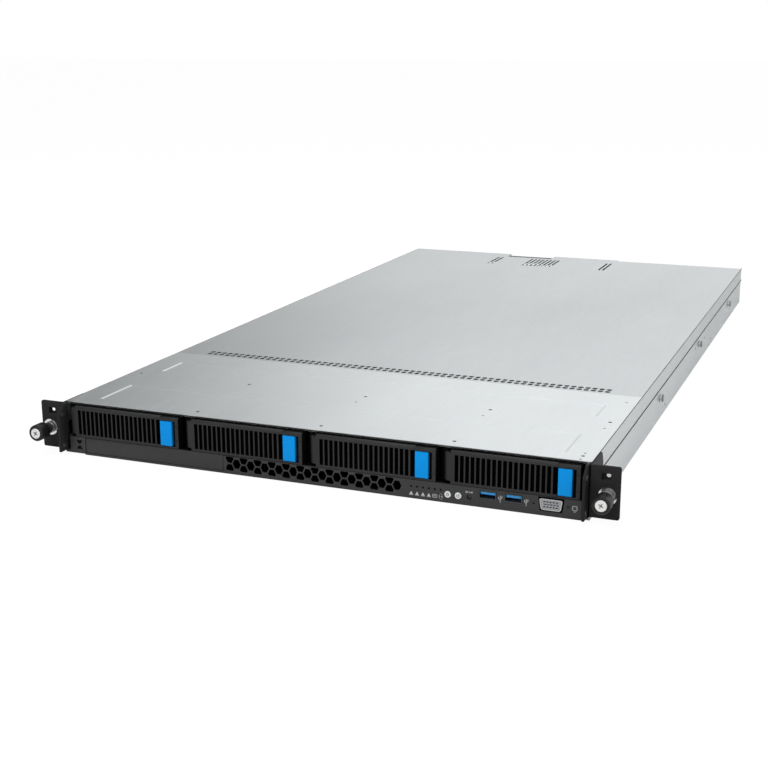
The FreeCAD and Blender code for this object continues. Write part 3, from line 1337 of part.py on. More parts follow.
def psu_latch(label, supply):
    """The release lever of a power supply: a bent tab on a pin inside its slot."""
    body = piece(label, **psu_place(supply))
    z = ("psu_latch_bottom", "psu_latch_bottom + psu_latch_height")
    pin = ("psu_latch_x + psu_latch_thick / 2", "psu_latch_thick - psu_latch_root")
    prism(body, "XY", [("psu_latch_x", pin[1]), ("psu_latch_x + psu_latch_thick", pin[1]),
                       ("psu_latch_x + psu_latch_thick", "psu_latch_reach - psu_latch_thick"),
                       ("psu_latch_x + 3 * psu_latch_thick", "psu_latch_reach"),
                       ("psu_latch_x + 2 * psu_latch_thick", "psu_latch_reach + psu_latch_thick / 2"),
                       ("psu_latch_x", "psu_latch_reach - psu_latch_thick / 2")], z)
    cylinder(body, "XY", pin, "latch_pin + steel", z)
    cylinder(body, "XY", pin, "latch_pin + shaft_gap", ("0", "psu_height"), cut=True)
    return body


def psu_rotor(label, supply):
    """The rotor of a power supply's fan."""
    body = piece(label, x=f"{psu_middle(supply)} + psu_fan_x", y=REAR, z=f"{PSU_LOW} + psu_height / 2")
    front = "-psu_fan_depth + rotor_inset"
    rotor(body, front, "psu_blade_length", "psu_hub", "psu_blade_tip", "blade_count",
          (f"{front} - steel", f"{front} + psu_blade_length - steel"))
    return body


def write_parts():
    """Check every object of the document, then export each piece."""
    doc.recompute()
    for item in doc.Objects:
        if "Invalid" in item.State or "Error" in item.State:
            raise ValueError(f"{item.Label} failed: {item.State}")
        if item.TypeId in ("PartDesign::Pocket", "PartDesign::Groove"):
            if not item.Shape.Volume < item.BaseFeature.Shape.Volume:
                raise ValueError(f"{item.Label} cuts nothing")
    os.makedirs("parts", exist_ok=True)
    for body in pieces:
        shape = body.Shape
        if shape.isNull() or not shape.isValid():
            raise ValueError(f"{body.Label} has no valid shape")
        shape.exportStep(f"parts/{body.Label}.step")


def main():
    """Build the whole server."""
    fill_sheet()
    chassis_base()
    front_cover()
    rear_lid()
    rear_wall()
    psu_cage()
    rack_ear("left_ear", -1)
    rack_ear("right_ear", 1)
    screw_collars()
    thumbscrew("left_thumbscrew", -1)
    thumbscrew("right_thumbscrew", 1)
    drive_cage()
    for bay in range(SIZES["bay_count"]):
        drive_tray(f"drive_tray_{bay + 1}", bay)
        tray_lever(f"tray_lever_{bay + 1}", bay)
        drive_latch(f"drive_latch_{bay + 1}", bay)
        hard_drive(f"hard_drive_{bay + 1}", bay)
    end_block()
    blank_plate()
    left_grille()
    io_panel()
    vga_socket()
    usb_shells()
    usb_tongues()
    front_board()
    panel_button("power_button", "power_x", "button_radius", "face_front - button_proud")
    panel_button("locate_button", "locate_x", "button_radius", "face_front - button_proud")
    panel_button("reset_button", "reset_x", "reset_radius", "face_front + reset_sunk / 2")
    drive_backplane()
    fan_cage()
    fan_frames()
    for fan in range(SIZES["fan_count"]):
        fan_rotor(f"fan_rotor_{fan + 1}", fan)
    motherboard()
    memory_modules()
    heat_sinks()
    riser_card()
    slot_covers()
    rear_ports()
    for supply in range(SIZES["psu_count"]):
        power_supply(f"power_supply_{supply + 1}", supply)
        psu_latch(f"psu_latch_{supply + 1}", supply)
        psu_rotor(f"psu_rotor_{supply + 1}", supply)
    write_parts()


main()
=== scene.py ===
"""Finishes and fine detail of a low rack server: its case, black front, drive trays, boards and supplies."""
import json
import math

import bmesh
import bpy
from mathutils import Matrix, Vector


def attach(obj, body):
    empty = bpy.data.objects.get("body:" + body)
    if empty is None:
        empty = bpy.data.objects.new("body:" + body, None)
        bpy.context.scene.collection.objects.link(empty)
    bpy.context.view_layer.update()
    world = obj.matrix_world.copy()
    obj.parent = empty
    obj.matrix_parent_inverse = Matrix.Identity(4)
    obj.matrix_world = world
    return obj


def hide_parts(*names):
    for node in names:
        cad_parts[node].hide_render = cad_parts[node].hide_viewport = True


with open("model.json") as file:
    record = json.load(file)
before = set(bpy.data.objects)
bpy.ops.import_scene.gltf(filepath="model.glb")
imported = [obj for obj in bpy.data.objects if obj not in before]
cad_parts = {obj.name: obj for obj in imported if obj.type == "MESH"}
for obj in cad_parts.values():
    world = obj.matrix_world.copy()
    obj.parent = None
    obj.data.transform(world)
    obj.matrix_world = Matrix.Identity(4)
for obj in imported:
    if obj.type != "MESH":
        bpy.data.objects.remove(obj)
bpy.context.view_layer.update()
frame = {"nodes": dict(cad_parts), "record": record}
scene = bpy.context.scene
scene.view_settings.view_transform = "Standard"
FRONT = -0.42125  # the front face of the rack ears
PANEL_FACE = FRONT - 0.0013  # the face of the strip under the bays
SEAM = FRONT + 0.1865  # where the front cover ends and the rear lid starts
REAR_WALL = 0.41525  # the outside of the rear wall
TOP = 0.043
HALF_WIDTH = 0.21975  # from the middle to the outside of a side wall
FLANGE = 0.0146  # the height of the flange along each side
RACK_SCREWS = {"left_screw": -0.23255, "right_screw": 0.23255}
BAYS = (-0.1623, -0.0541, 0.0541, 0.1623)  # the middles of the four drive bays
# how far behind FRONT, and how high, the small holes in each side wall are
SIDE_HOLES = ((0.4739, 0.0195), (0.5356, 0.0183), (0.5842, 0.0067), (0.301, 0.0065))
LAMP_START, LAMP_STEP = 0.0858, 0.00464  # the lamps of the panel


# ---------------- nodes

def feed(node, inputs):
    """Gives each input of a node a value, or wires it to another node's output."""
    for socket, value in inputs.items():
        if isinstance(value, bpy.types.NodeSocket):
            node.id_data.links.new(value, node.inputs[socket])
        else:
            node.inputs[socket].default_value = value


def add_node(tree, kind, inputs=None, **traits):
    """A new node with its traits set and its inputs fed."""
    node = tree.nodes.new(kind)
    for trait, value in traits.items():
        setattr(node, trait, value)
    feed(node, inputs or {})
    return node


def ramp_of(tree, value, stops):
    """A colour ramp through stops of (position, colour)."""
    ramp = add_node(tree, "ShaderNodeValToRGB", {"Fac": value})
    elements = ramp.color_ramp.elements
    while len(elements) < len(stops):
        elements.new(0.5)
    for element, (position, colour) in zip(elements, stops):
        element.position = position
        element.color = (*colour, 1)
    return ramp.outputs["Color"]


def shader_of(name):
    """A new node material, its tree and its main shader."""
    material = bpy.data.materials.new(name)
    material.use_nodes = True
    return material, material.node_tree, material.node_tree.nodes["Principled BSDF"]


# ---------------- camera, light and floor

# how bright the studio is in reflections, from the horizon up to straight above
STUDIO_LEVELS = ((0.0, 0.55), (0.33, 1.27), (0.45, 1.27), (0.63, 2.0), (0.78, 1.15), (1.0, 0.95))
AMBIENT = 0.45  # the studio's level as a light


def make_camera():
    """The camera that looks down the case from the right of its front."""
    data = bpy.data.cameras.new("camera")
    data.lens = 61.63
    data.sensor_width = 36
    camera = bpy.data.objects.new("camera", data)
    camera.location = (0.40935, -1.28763, 0.33648)
    camera.rotation_euler = (1.308305, 0.002674, 0.378859)
    scene.collection.objects.link(camera)
    scene.camera = camera


def make_light(name, place, size, power):
    """A square soft lamp that faces the object and isn't mirrored in its metal."""
    data = bpy.data.lights.new(name, "AREA")
    data.shape = "SQUARE"
    data.size = size
    data.energy = power
    lamp = bpy.data.objects.new(name, data)
    lamp.location = place
    lamp.rotation_euler = (-Vector(place)).to_track_quat("-Z", "Y").to_euler()
    lamp.visible_glossy = False
    scene.collection.objects.link(lamp)


def make_world():
    """A white studio whose left side is darker in reflections, and which is dimmer as a light."""
    world = bpy.data.worlds.new("studio")
    scene.world = world
    world.use_nodes = True
    tree = world.node_tree

    def sum_of(operation, one, two):
        return add_node(tree, "ShaderNodeMath", {0: one, 1: two}, operation=operation).outputs[0]

    path = add_node(tree, "ShaderNodeLightPath").outputs
    place = add_node(tree, "ShaderNodeTexCoord").outputs["Generated"]
    way = add_node(tree, "ShaderNodeSeparateXYZ", {0: place}).outputs
    span = {"Value": way["X"], "From Min": -0.58, "From Max": -0.29, "To Min": 0.08, "To Max": 1.0}
    side = add_node(tree, "ShaderNodeMapRange", span, interpolation_type="SMOOTHSTEP")
    levels = ramp_of(tree, way["Z"], [(position, (level / 2,) * 3) for position, level in STUDIO_LEVELS])
    mirrored = sum_of("MULTIPLY", side.outputs["Result"], sum_of("MULTIPLY", levels, 2))
    glossy = path["Is Glossy Ray"]
    level = sum_of("ADD", sum_of("MULTIPLY", glossy, mirrored),
                   sum_of("MULTIPLY", sum_of("SUBTRACT", 1, glossy), AMBIENT))
    seen = sum_of("MAXIMUM", path["Is Camera Ray"], path["Is Transmission Ray"])
    feed(tree.nodes["Background"], {"Color": (1, 1, 1, 1), "Strength": sum_of("MAXIMUM", seen, level)})


def make_floor():
    """A pale floor under the case, wide enough to fill the view."""
    mesh = bpy.data.meshes.new("floor")
    reach = 14
    corners = [(-reach, -reach, 0), (reach, -reach, 0), (reach, reach, 0), (-reach, reach, 0)]
    mesh.from_pydata(corners, [], [(0, 1, 2, 3)])
    floor = bpy.data.objects.new("floor", mesh)
    scene.collection.objects.link(floor)
    material, tree, shader = shader_of("floor_white")
    feed(shader, {"Base Color": (0.92, 0.92, 0.92, 1), "Roughness": 0.9})
    glow = add_node(tree, "ShaderNodeEmission", {"Strength": 1.06})
    seen = add_node(tree, "ShaderNodeLightPath").outputs["Is Camera Ray"]
    share = add_node(tree, "ShaderNodeMath", {0: seen, 1: 0.88}, operation="MULTIPLY")
    mix = add_node(tree, "ShaderNodeMixShader", {"Fac": share.outputs[0], 1: shader.outputs["BSDF"],
                                                 2: glow.outputs["Emission"]})
    feed(tree.nodes["Material Output"], {"Surface": mix.outputs["Shader"]})
    mesh.materials.append(material)


# ---------------- finishes

NOISE_LOW, NOISE_HIGH = 0.3, 0.7  # the span that most of a noise lies in


def place_of(tree, stretch=(1, 1, 1)):
    """Object coordinates, stretched along each axis."""
    place = add_node(tree, "ShaderNodeTexCoord").outputs["Object"]
    return add_node(tree, "ShaderNodeMapping", {"Vector": place, "Scale": stretch}).outputs["Vector"]


def noise_of(tree, scale, stretch=(1, 1, 1), detail=3):
    """The value of a noise on the object's coordinates."""
    inputs = {"Vector": place_of(tree, stretch), "Scale": scale, "Detail": detail, "Roughness": 0.6}
    return add_node(tree, "ShaderNodeTexNoise", inputs).outputs["Fac"]


def tone_of(tree, value, dark, light):
    """A noise's value as a colour between dark and light."""
    return ramp_of(tree, value, ((NOISE_LOW, dark), (NOISE_HIGH, light)))


def spread_of(tree, value, low, high):
    """A noise's value, moved to the span from low to high."""
    inputs = {"Value": value, "From Min": NOISE_LOW, "From Max": NOISE_HIGH, "To Min": low, "To Max": high}
    return add_node(tree, "ShaderNodeMapRange", inputs).outputs["Result"]


def bump_of(tree, height, strength, distance):
    """The normals of a surface that is raised by a height value."""
    inputs = {"Height": height, "Strength": strength, "Distance": distance}
    return add_node(tree, "ShaderNodeBump", inputs).outputs["Normal"]


def plain_finish(name, dark, light, rough, metal=0.0, grain=900, depth=0.00002, stretch=(1, 1, 1),
                 coat=0.0, shine=0.5):
    """A finish whose colour drifts slowly and whose surface has a fine grain."""
    material, tree, shader = shader_of(name)
    fine = noise_of(tree, grain, stretch, 4)
    feed(shader, {"Base Color": tone_of(tree, noise_of(tree, 18), dark, light),
                  "Roughness": spread_of(tree, fine, *rough), "Normal": bump_of(tree, fine, 0.5, depth),
                  "Metallic": metal, "Coat Weight": coat, "Specular IOR Level": shine})
    return material


def steel_finish(name, dark, light, rough):
    """Zinc coated sheet: faint crystals, fine lengthwise rolling lines and a satin sheen."""
    material, tree, shader = shader_of(name)
    crystals = add_node(tree, "ShaderNodeTexVoronoi", {"Vector": place_of(tree), "Scale": 160})
    grey = add_node(tree, "ShaderNodeRGBToBW", {"Color": crystals.outputs["Color"]})
    cloud = noise_of(tree, 5, (1, 0.4, 1))
    mix = add_node(tree, "ShaderNodeMix", {"Factor": 0.05, "A": cloud, "B": grey.outputs["Val"]})
    lines = noise_of(tree, 700, (1, 0.03, 1))
    feed(shader, {"Base Color": tone_of(tree, mix.outputs["Result"], dark, light), "Metallic": 0.88,
                  "Roughness": spread_of(tree, lines, *rough), "Normal": bump_of(tree, lines, 0.12, 0.00001)})
    return material


def board_finish(name, mask, track):
    """A circuit board: glossy mask with fine tracks under it and small pads."""
    material, tree, shader = shader_of(name)
    darker = [channel * 0.86 for channel in mask]
    bricks = add_node(tree, "ShaderNodeTexBrick", {
        "Vector": place_of(tree), "Scale": 90, "Mortar Size": 0.02, "Brick Width": 2.4, "Row Height": 0.16,
        "Color1": (*mask, 1), "Color2": (*darker, 1), "Mortar": (*track, 1)})
    dots = add_node(tree, "ShaderNodeTexVoronoi", {"Vector": place_of(tree), "Scale": 230})
    pads = add_node(tree, "ShaderNodeMath", {0: dots.outputs["Distance"], 1: 0.14}, operation="LESS_THAN")
    mix = add_node(tree, "ShaderNodeMix", {"Factor": pads.outputs[0], "A": bricks.outputs["Color"],
                                           "B": (0.55, 0.5, 0.35, 1)}, data_type="RGBA")
    feed(shader, {"Base Color": mix.outputs["Result"], "Roughness": 0.32,
                  "Normal": bump_of(tree, bricks.outputs["Fac"], 0.2, 0.00003)})
    return material


FINISHES = {
    "case_steel": steel_finish("satin_zinc_steel", (0.585, 0.61, 0.62), (0.66, 0.69, 0.7), (0.34, 0.44)),
    "ear_steel": plain_finish("black_powder_paint", (0.021, 0.021, 0.0215), (0.026, 0.026, 0.0265),
                              (0.42, 0.58), grain=1500, depth=0.00006, shine=0.06),
    "collar_metal": plain_finish("bright_nickel", (0.75, 0.75, 0.76), (0.82, 0.82, 0.83), (0.12, 0.2),
                                 metal=1),
    "thumbscrew_metal": plain_finish("black_oxide", (0.008, 0.008, 0.0085), (0.012, 0.012, 0.0125),
                                     (0.3, 0.42), shine=0.3),
    "bezel_plastic": plain_finish("black_bezel", (0.02, 0.02, 0.021), (0.026, 0.026, 0.027), (0.4, 0.52),
                                  grain=2200, depth=0.00004),
    "front_black": plain_finish("black_front_paint", (0.022, 0.022, 0.023), (0.028, 0.028, 0.029),
                                (0.4, 0.54), grain=1800, depth=0.00005),
    "tray_metal": plain_finish("dark_tray", (0.02, 0.02, 0.021), (0.026, 0.026, 0.027), (0.38, 0.5),
                               shine=0.25),
    "lever_plastic": plain_finish("black_lever", (0.026, 0.026, 0.027), (0.032, 0.032, 0.033), (0.38, 0.5),
                                  grain=2200, depth=0.00004, shine=0.16),
    "latch_blue": plain_finish("blue_latch", (0.0, 0.27, 0.74), (0.0, 0.3, 0.78), (0.42, 0.5), grain=2000,
                               shine=0.12),
    "drive_metal": plain_finish("cast_drive_case", (0.42, 0.43, 0.44), (0.52, 0.53, 0.54), (0.35, 0.5),
                                metal=0.9, grain=500, depth=0.00008),
    "socket_plastic": plain_finish("grey_socket", (0.3, 0.31, 0.32), (0.36, 0.37, 0.38), (0.4, 0.5)),
    "shell_metal": plain_finish("tinned_shell", (0.62, 0.62, 0.61), (0.72, 0.72, 0.71), (0.18, 0.3), metal=1),
    # painted shade: the sockets' nickel shells are made dark as if in shadow
    "socket_shell": plain_finish("dull_shell", (0.1, 0.1, 0.105), (0.15, 0.15, 0.155), (0.3, 0.4),
                                 metal=0.8),
    "tongue_plastic": plain_finish("blue_tongue", (0.0, 0.17, 0.55), (0.0, 0.21, 0.62), (0.3, 0.4)),
    "circuit_board": board_finish("green_board", (0.01, 0.085, 0.04), (0.02, 0.15, 0.07)),
    "button_plastic": plain_finish("white_button", (0.74, 0.75, 0.75), (0.8, 0.81, 0.81), (0.35, 0.45)),
    "fan_plastic": plain_finish("black_fan", (0.01, 0.01, 0.011), (0.016, 0.016, 0.017), (0.35, 0.5)),
    "sink_metal": plain_finish("extruded_aluminium", (0.62, 0.63, 0.64), (0.74, 0.75, 0.76), (0.28, 0.4),
                               metal=1, stretch=(1, 0.02, 1), grain=700),
    "supply_metal": steel_finish("supply_sheet", (0.52, 0.52, 0.51), (0.6, 0.6, 0.59), (0.32, 0.42)),
    "latch_green": plain_finish("green_latch", (0.01, 0.24, 0.14), (0.015, 0.28, 0.17), (0.35, 0.45)),
}
# painted shade: a darker copy of the case steel for the lid's upward faces
LID_TOP_SHADE_STEEL = steel_finish("lid_zinc_steel", (0.48, 0.5, 0.51), (0.54, 0.565, 0.575), (0.36, 0.46))
SILVER = plain_finish("turned_steel", (0.8, 0.8, 0.79), (0.88, 0.88, 0.87), (0.28, 0.4), metal=0.85)
ICON_WHITE = plain_finish("printed_white", (0.48, 0.49, 0.49), (0.58, 0.59, 0.59), (0.5, 0.6))
LAMP_CLEAR = plain_finish("smoked_lens", (0.03, 0.03, 0.03), (0.05, 0.05, 0.05), (0.12, 0.2), coat=0.5)
CHIP_BLACK = plain_finish("chip_epoxy", (0.016, 0.016, 0.017), (0.022, 0.022, 0.023), (0.45, 0.6))
# painted shade: the dark colour of the strips along the folds and seams
SEAM_SHADE = plain_finish("seam_shadow", (0.035, 0.036, 0.037), (0.05, 0.051, 0.052), (0.6, 0.7), shine=0.1)
DULL_STEEL = plain_finish("dull_steel", (0.16, 0.16, 0.16), (0.22, 0.22, 0.22), (0.25, 0.35), metal=0.8)
# painted shade: dark steel for the flat crosses that stand for screw recesses, and for the rivet heads
DARK_STEEL_AND_RECESS_SHADE = plain_finish("dark_steel", (0.1, 0.1, 0.105), (0.16, 0.16, 0.165), (0.3, 0.4), metal=0.8)
LAMP_GREEN = plain_finish("green_lens", (0.03, 0.42, 0.12), (0.05, 0.52, 0.16), (0.12, 0.2), coat=0.4)
LAMP_AMBER = plain_finish("amber_lens", (0.6, 0.26, 0.02), (0.7, 0.32, 0.03), (0.12, 0.2), coat=0.4)
# painted shade: a near-black for the shade inside openings, holes and gaps, also used for the end block's
# dark marks
BLACK_MARKS_AND_SHADE = plain_finish("matt_black", (0.002, 0.002, 0.002), (0.004, 0.004, 0.004), (0.7, 0.8), shine=0.05)
# painted highlight: a paler blue for the lit upper faces of the tongues
BLUE_PAINTED_HIGHLIGHT = plain_finish("worn_blue", (0.03, 0.34, 0.72), (0.05, 0.4, 0.78), (0.25, 0.35))
GOLD = plain_finish("gold_contact", (0.72, 0.5, 0.18), (0.8, 0.58, 0.24), (0.2, 0.3), metal=1)


def dress_nodes():
    """Each CAD node takes the finish of its slot."""
    for part in frame["record"]["subparts"]:
        node = frame["nodes"][part["node"]]
        finish = FINISHES[part["material_slot"]]
        if not node.material_slots:
            node.data.materials.append(finish)
        for place in node.material_slots:
            place.material = finish


# ---------------- shapes and pieces

def quarter(axis, way=1):
    """A quarter turn about an axis."""
    return Matrix.Rotation(way * math.pi / 2, 4, axis)


def stored(work, name):
    """Turns a bmesh into a mesh."""
    mesh = bpy.data.meshes.new(name)
    work.to_mesh(mesh)
    work.free()
    return mesh


def mesh_of(work, name):
    """Turns a bmesh into a mesh with outward faces."""
    bmesh.ops.recalc_face_normals(work, faces=work.faces)
    return stored(work, name)


def box_shape(low, high, round_off=0.0):
    """A block between two corners, its edges rounded off."""
    work = bmesh.new()
    bmesh.ops.create_cube(work, size=1)
    for vertex in work.verts:
        vertex.co = [low[i] + (vertex.co[i] + 0.5) * (high[i] - low[i]) for i in range(3)]
    if round_off:
        bmesh.ops.bevel(work, geom=work.edges[:], offset=round_off, segments=2, affect="EDGES", profile=0.6)
    return mesh_of(work, "box_shape")


def side_strips(middle, half, front, back, low, high):
    """The same strip along both sides of the case."""
    return [box_shape((side * middle - half, front, low), (side * middle + half, back, high))
            for side in (-1, 1)]


def plate_shape(outline, front, thick):
    """A flat shape in the X-Z plane whose face looks to the front."""
    work = bmesh.new()
    face = work.faces.new([work.verts.new((x, front, z)) for x, z in outline])
    pushed = bmesh.ops.extrude_face_region(work, geom=[face])["geom"]
    corners = [item for item in pushed if isinstance(item, bmesh.types.BMVert)]
    bmesh.ops.translate(work, verts=corners, vec=(0, thick, 0))
    return mesh_of(work, "plate_shape")


def turned_shape(profile, steps=48, closed=True):
    """A shape turned about the Y axis from pairs of (y, radius), its ends closed on the axis."""
    work = bmesh.new()
    if closed:
        (start, first), (end, last) = profile[0], profile[-1]
        profile = [(start, 0)] * (first > 0) + profile + [(end, 0)] * (last > 0)
    angles = [2 * math.pi * k / steps for k in range(steps)]
    rings = [[work.verts.new((r * math.cos(a), y, r * math.sin(a))) for a in angles] if r > 0
             else [work.verts.new((0, y, 0))] for y, r in profile]
    for one, two in zip(rings, rings[1:]):
        for k in range(steps):
            after = (k + 1) % steps
            corners = [one[k % len(one)], one[after % len(one)], two[after % len(two)], two[k % len(two)]]
            work.faces.new(list(dict.fromkeys(corners)))
    return mesh_of(work, "turned_shape")


def tube_shape(loops, name):
    """A closed skin through loops of points, the last loop joined to the first."""
    work = bmesh.new()
    loops = [[work.verts.new(point) for point in loop] for loop in loops]
    for one, two in zip(loops, loops[1:] + loops[:1]):
        for k in range(len(one)):
            work.faces.new((one[k], one[k - 1], two[k - 1], two[k]))
    return mesh_of(work, name)


def joined(meshes):
    """Several meshes as one."""
    work = bmesh.new()
    for mesh in meshes:
        work.from_mesh(mesh)
    return stored(work, "joined_shape")


def moved(mesh, place, turn=None):
    """A copy of a mesh, turned and put in its place."""
    copy = mesh.copy()
    copy.transform(Matrix.Translation(place) @ (turn or Matrix()))
    return copy


def cross_of(bar):
    """A cross recess drawn as two bars."""
    return joined([bar, moved(bar, (0, 0, 0), quarter("Y"))])


def piece(name, shape, slot, finish=None, body="case", replaces=(), smooth=35):
    """A finished piece at the origin that moves with a body, made of one mesh or of a list.

    It has its slot's own finish when no other is given."""
    mesh = joined(shape) if isinstance(shape, list) else shape
    obj = bpy.data.objects.new(name, mesh)
    scene.collection.objects.link(obj)
    # a copied CAD node brings its own shading, which would not fit the new shape
    normals = mesh.attributes.get("custom_normal")
    if normals:
        mesh.attributes.remove(normals)
    mesh.materials.clear()
    mesh.materials.append(finish or FINISHES[slot])
    mesh.shade_smooth()
    mesh.set_sharp_from_angle(angle=math.radians(smooth))
    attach(obj, body)
    if replaces:
        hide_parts(*replaces)
    return obj


def tree_of(name, inputs):
    """A geometry tree, its end node and its inputs: geometry, the named ones and a finish."""
    tree = bpy.data.node_groups.new(name, "GeometryNodeTree")
    tree.interface.new_socket("Geometry", in_out="INPUT", socket_type="NodeSocketGeometry")
    for label, kind in (*inputs, ("Finish", "Material")):
        tree.interface.new_socket(label, in_out="INPUT", socket_type=f"NodeSocket{kind}")
    tree.interface.new_socket("Geometry", in_out="OUTPUT", socket_type="NodeSocketGeometry")
    return tree, tree.nodes.new("NodeGroupOutput"), tree.nodes.new("NodeGroupInput").outputs


def copies_of(tree, shape, count, step):
    """Puts a copy of the shape on each point of a line."""
    line = add_node(tree, "GeometryNodeMeshLine", {"Count": count, "Offset": step})
    return add_node(tree, "GeometryNodeInstanceOnPoints", {"Points": line.outputs[0], "Instance": shape})


def close_tree(tree, end, given, geometry):
    """Makes the instances real, gives them the finish and hands them out."""
    real = add_node(tree, "GeometryNodeRealizeInstances", {0: geometry})
    paint = add_node(tree, "GeometryNodeSetMaterial", {"Geometry": real.outputs[0],
                                                       "Material": given["Finish"]})
    feed(end, {0: paint.outputs[0]})
    return tree


def rows_tree():
    """Repeats a shape along two steps."""
    tree, end, given = tree_of("rows_of_shape", (("Across", "Int"), ("Across Step", "Vector"),
                                                 ("Up", "Int"), ("Up Step", "Vector")))
    shape = given["Geometry"]
    for way in ("Across", "Up"):
        shape = copies_of(tree, shape, given[way], given[f"{way} Step"]).outputs[0]
    return close_tree(tree, end, given, shape)


def ring_tree():
    """Repeats a shape around the Y axis."""
    tree, end, given = tree_of("ring_of_shape", (("Count", "Int"), ("Turn", "Float")))
    index = add_node(tree, "GeometryNodeInputIndex").outputs[0]
    angle = add_node(tree, "ShaderNodeMath", {0: index, 1: given["Turn"]}, operation="MULTIPLY")
    turn = add_node(tree, "ShaderNodeCombineXYZ", {"Y": angle.outputs[0]})
    copies = copies_of(tree, given["Geometry"], given["Count"], (0, 0, 0))
    feed(copies, {"Rotation": turn.outputs[0]})
    return close_tree(tree, end, given, copies.outputs[0])


ROWS = rows_tree()
RING = ring_tree()


def grown(shape, tree, **values):
    """The mesh that a geometry tree makes of a shape."""
    carrier = bpy.data.objects.new("carrier", shape)
    scene.collection.objects.link(carrier)
    modifier = carrier.modifiers.new("grow", "NODES")
    modifier.node_group = tree
    for item in tree.interface.items_tree:
        label = item.name.replace(" ", "_").lower()
        if item.in_out == "INPUT" and label in values:
            modifier[item.identifier] = values[label]
    bpy.context.view_layer.update()
    finished = carrier.evaluated_get(bpy.context.evaluated_depsgraph_get())
    mesh = bpy.data.meshes.new_from_object(finished)
    bpy.data.objects.remove(carrier)
    return mesh


def rows(shape, finish, across=(1, (0, 0, 0)), up=(1, (0, 0, 0))):
    """A shape repeated along two steps, each given as (count, step)."""
    return grown(shape, ROWS, across=across[0], across_step=across[1], up=up[0], up_step=up[1], finish=finish)


def ring(shape, finish, count):
    """A shape repeated around the Y axis."""
    return grown(shape, RING, count=count, turn=2 * math.pi / count, finish=finish)


def merged_copy(node):
    """A CAD node's shape as a bmesh of few, large faces."""
    work = bmesh.new()
    work.from_mesh(frame["nodes"][node].data)
    bmesh.ops.remove_doubles(work, verts=work.verts, dist=1e-6)
    bmesh.ops.dissolve_limit(work, angle_limit=math.radians(0.5), verts=work.verts, edges=work.edges)
    return work


def stand_in(node, work, body, smooth):
    """The reworked shape of a CAD node, with the node's finish, in place of the node."""
    mesh = stored(work, f"{node}_soft")
    slot = next(part["material_slot"] for part in frame["record"]["subparts"] if part["node"] == node)
    return piece(f"{node}_shape", mesh, slot, body=body, replaces=(node,), smooth=smooth)


def softened(node, body, width, angle=40, chosen=None, segments=2, reshape=None, inner=None):
    """A CAD node's shape with its edges rounded over, in place of the node.

    chosen picks the edges, reshape moves a vertex first, and inner tells which faces are the
    insides of openings, which are painted black as shade."""
    work = merged_copy(node)
    if reshape:
        for vertex in work.verts:
            reshape(vertex)
    edges = [edge for edge in work.edges if len(edge.link_faces) == 2
             and edge.calc_face_angle(0) > math.radians(angle) and (chosen is None or chosen(edge))]
    bmesh.ops.bevel(work, geom=edges, offset=width, segments=segments, affect="EDGES", profile=0.5,
                    clamp_overlap=True)
    work.normal_update()
    made = stand_in(node, work, body, angle)
    # the faces that inner picks are painted black, as shade
    if inner:
        made.data.materials.append(BLACK_MARKS_AND_SHADE)
        for face in made.data.polygons:
            face.material_index = int(inner(face.center, face.normal))
    return made


# ---------------- front

CLOSE = 0.0001  # two places nearer than this are the same


def in_opening(place, normal, across, up):
    """Whether a face is a wall or the ground of an opening within the spans across and up."""
    return (across[0] < place.x < across[1] and up[0] < place.z < up[1]
            and normal.y > -0.5 and place.y > PANEL_FACE + CLOSE)


def make_thumbscrews():
    """Knurled black grips on a steel core with a cross recess, and a dark shank in the collar."""
    height, front, back = 0.0209, -0.0222, -0.0102
    grip_radius, neck_radius, ridges = 0.0066, 0.0045, 36
    grip = turned_shape([(front, 0.0044), (front, 0.006), (front + 0.0008, grip_radius),
                         (back - 0.0008, grip_radius), (back, 0.006), (back, neck_radius),
                         (-0.0019, neck_radius), (-0.0019, 0.0026), (0.0023, 0.0026), (0.0023, 0.003),
                         (0.01, 0.003), (0.011, 0.002), (0.011, 0)], 64, closed=False)
    ridge = box_shape((-0.00042, front + 0.0012, 0.0063), (0.00042, back - 0.0012, 0.0067), 0.00012)
    core = turned_shape([(front + 0.0003, 0), (front - 0.0002, 0.0034), (front - 0.0001, 0.0041),
                         (front + 0.0004, neck_radius), (front + 0.004, neck_radius)])
    neck = turned_shape([(back - 0.0002, 0.00465), (-0.0022, 0.00465)])
    bar = box_shape((-0.0019, front - 0.0003, -0.00027), (0.0019, front + 0.0002, 0.00027), 0.00006)
    cross = moved(cross_of(bar), (0, 0, 0), Matrix.Rotation(0.5, 4, "Y"))
    slot = "thumbscrew_metal"
    knurled = joined([grip, ring(ridge, FINISHES[slot], ridges)])
    for body, x in RACK_SCREWS.items():
        centre = (x, FRONT, height)
        side = body.split("_")[0]
        piece(f"{side}_screw_grip", moved(knurled, centre), slot, body=body, replaces=(f"{side}_thumbscrew",))
        # the cross's dark finish paints the shade of the recess
        for part, mesh, finish in (("core", core, SILVER), ("neck", neck, DULL_STEEL),
                                   ("cross", cross, DARK_STEEL_AND_RECESS_SHADE)):
            piece(f"{side}_screw_{part}", moved(mesh, centre), slot, finish, body)


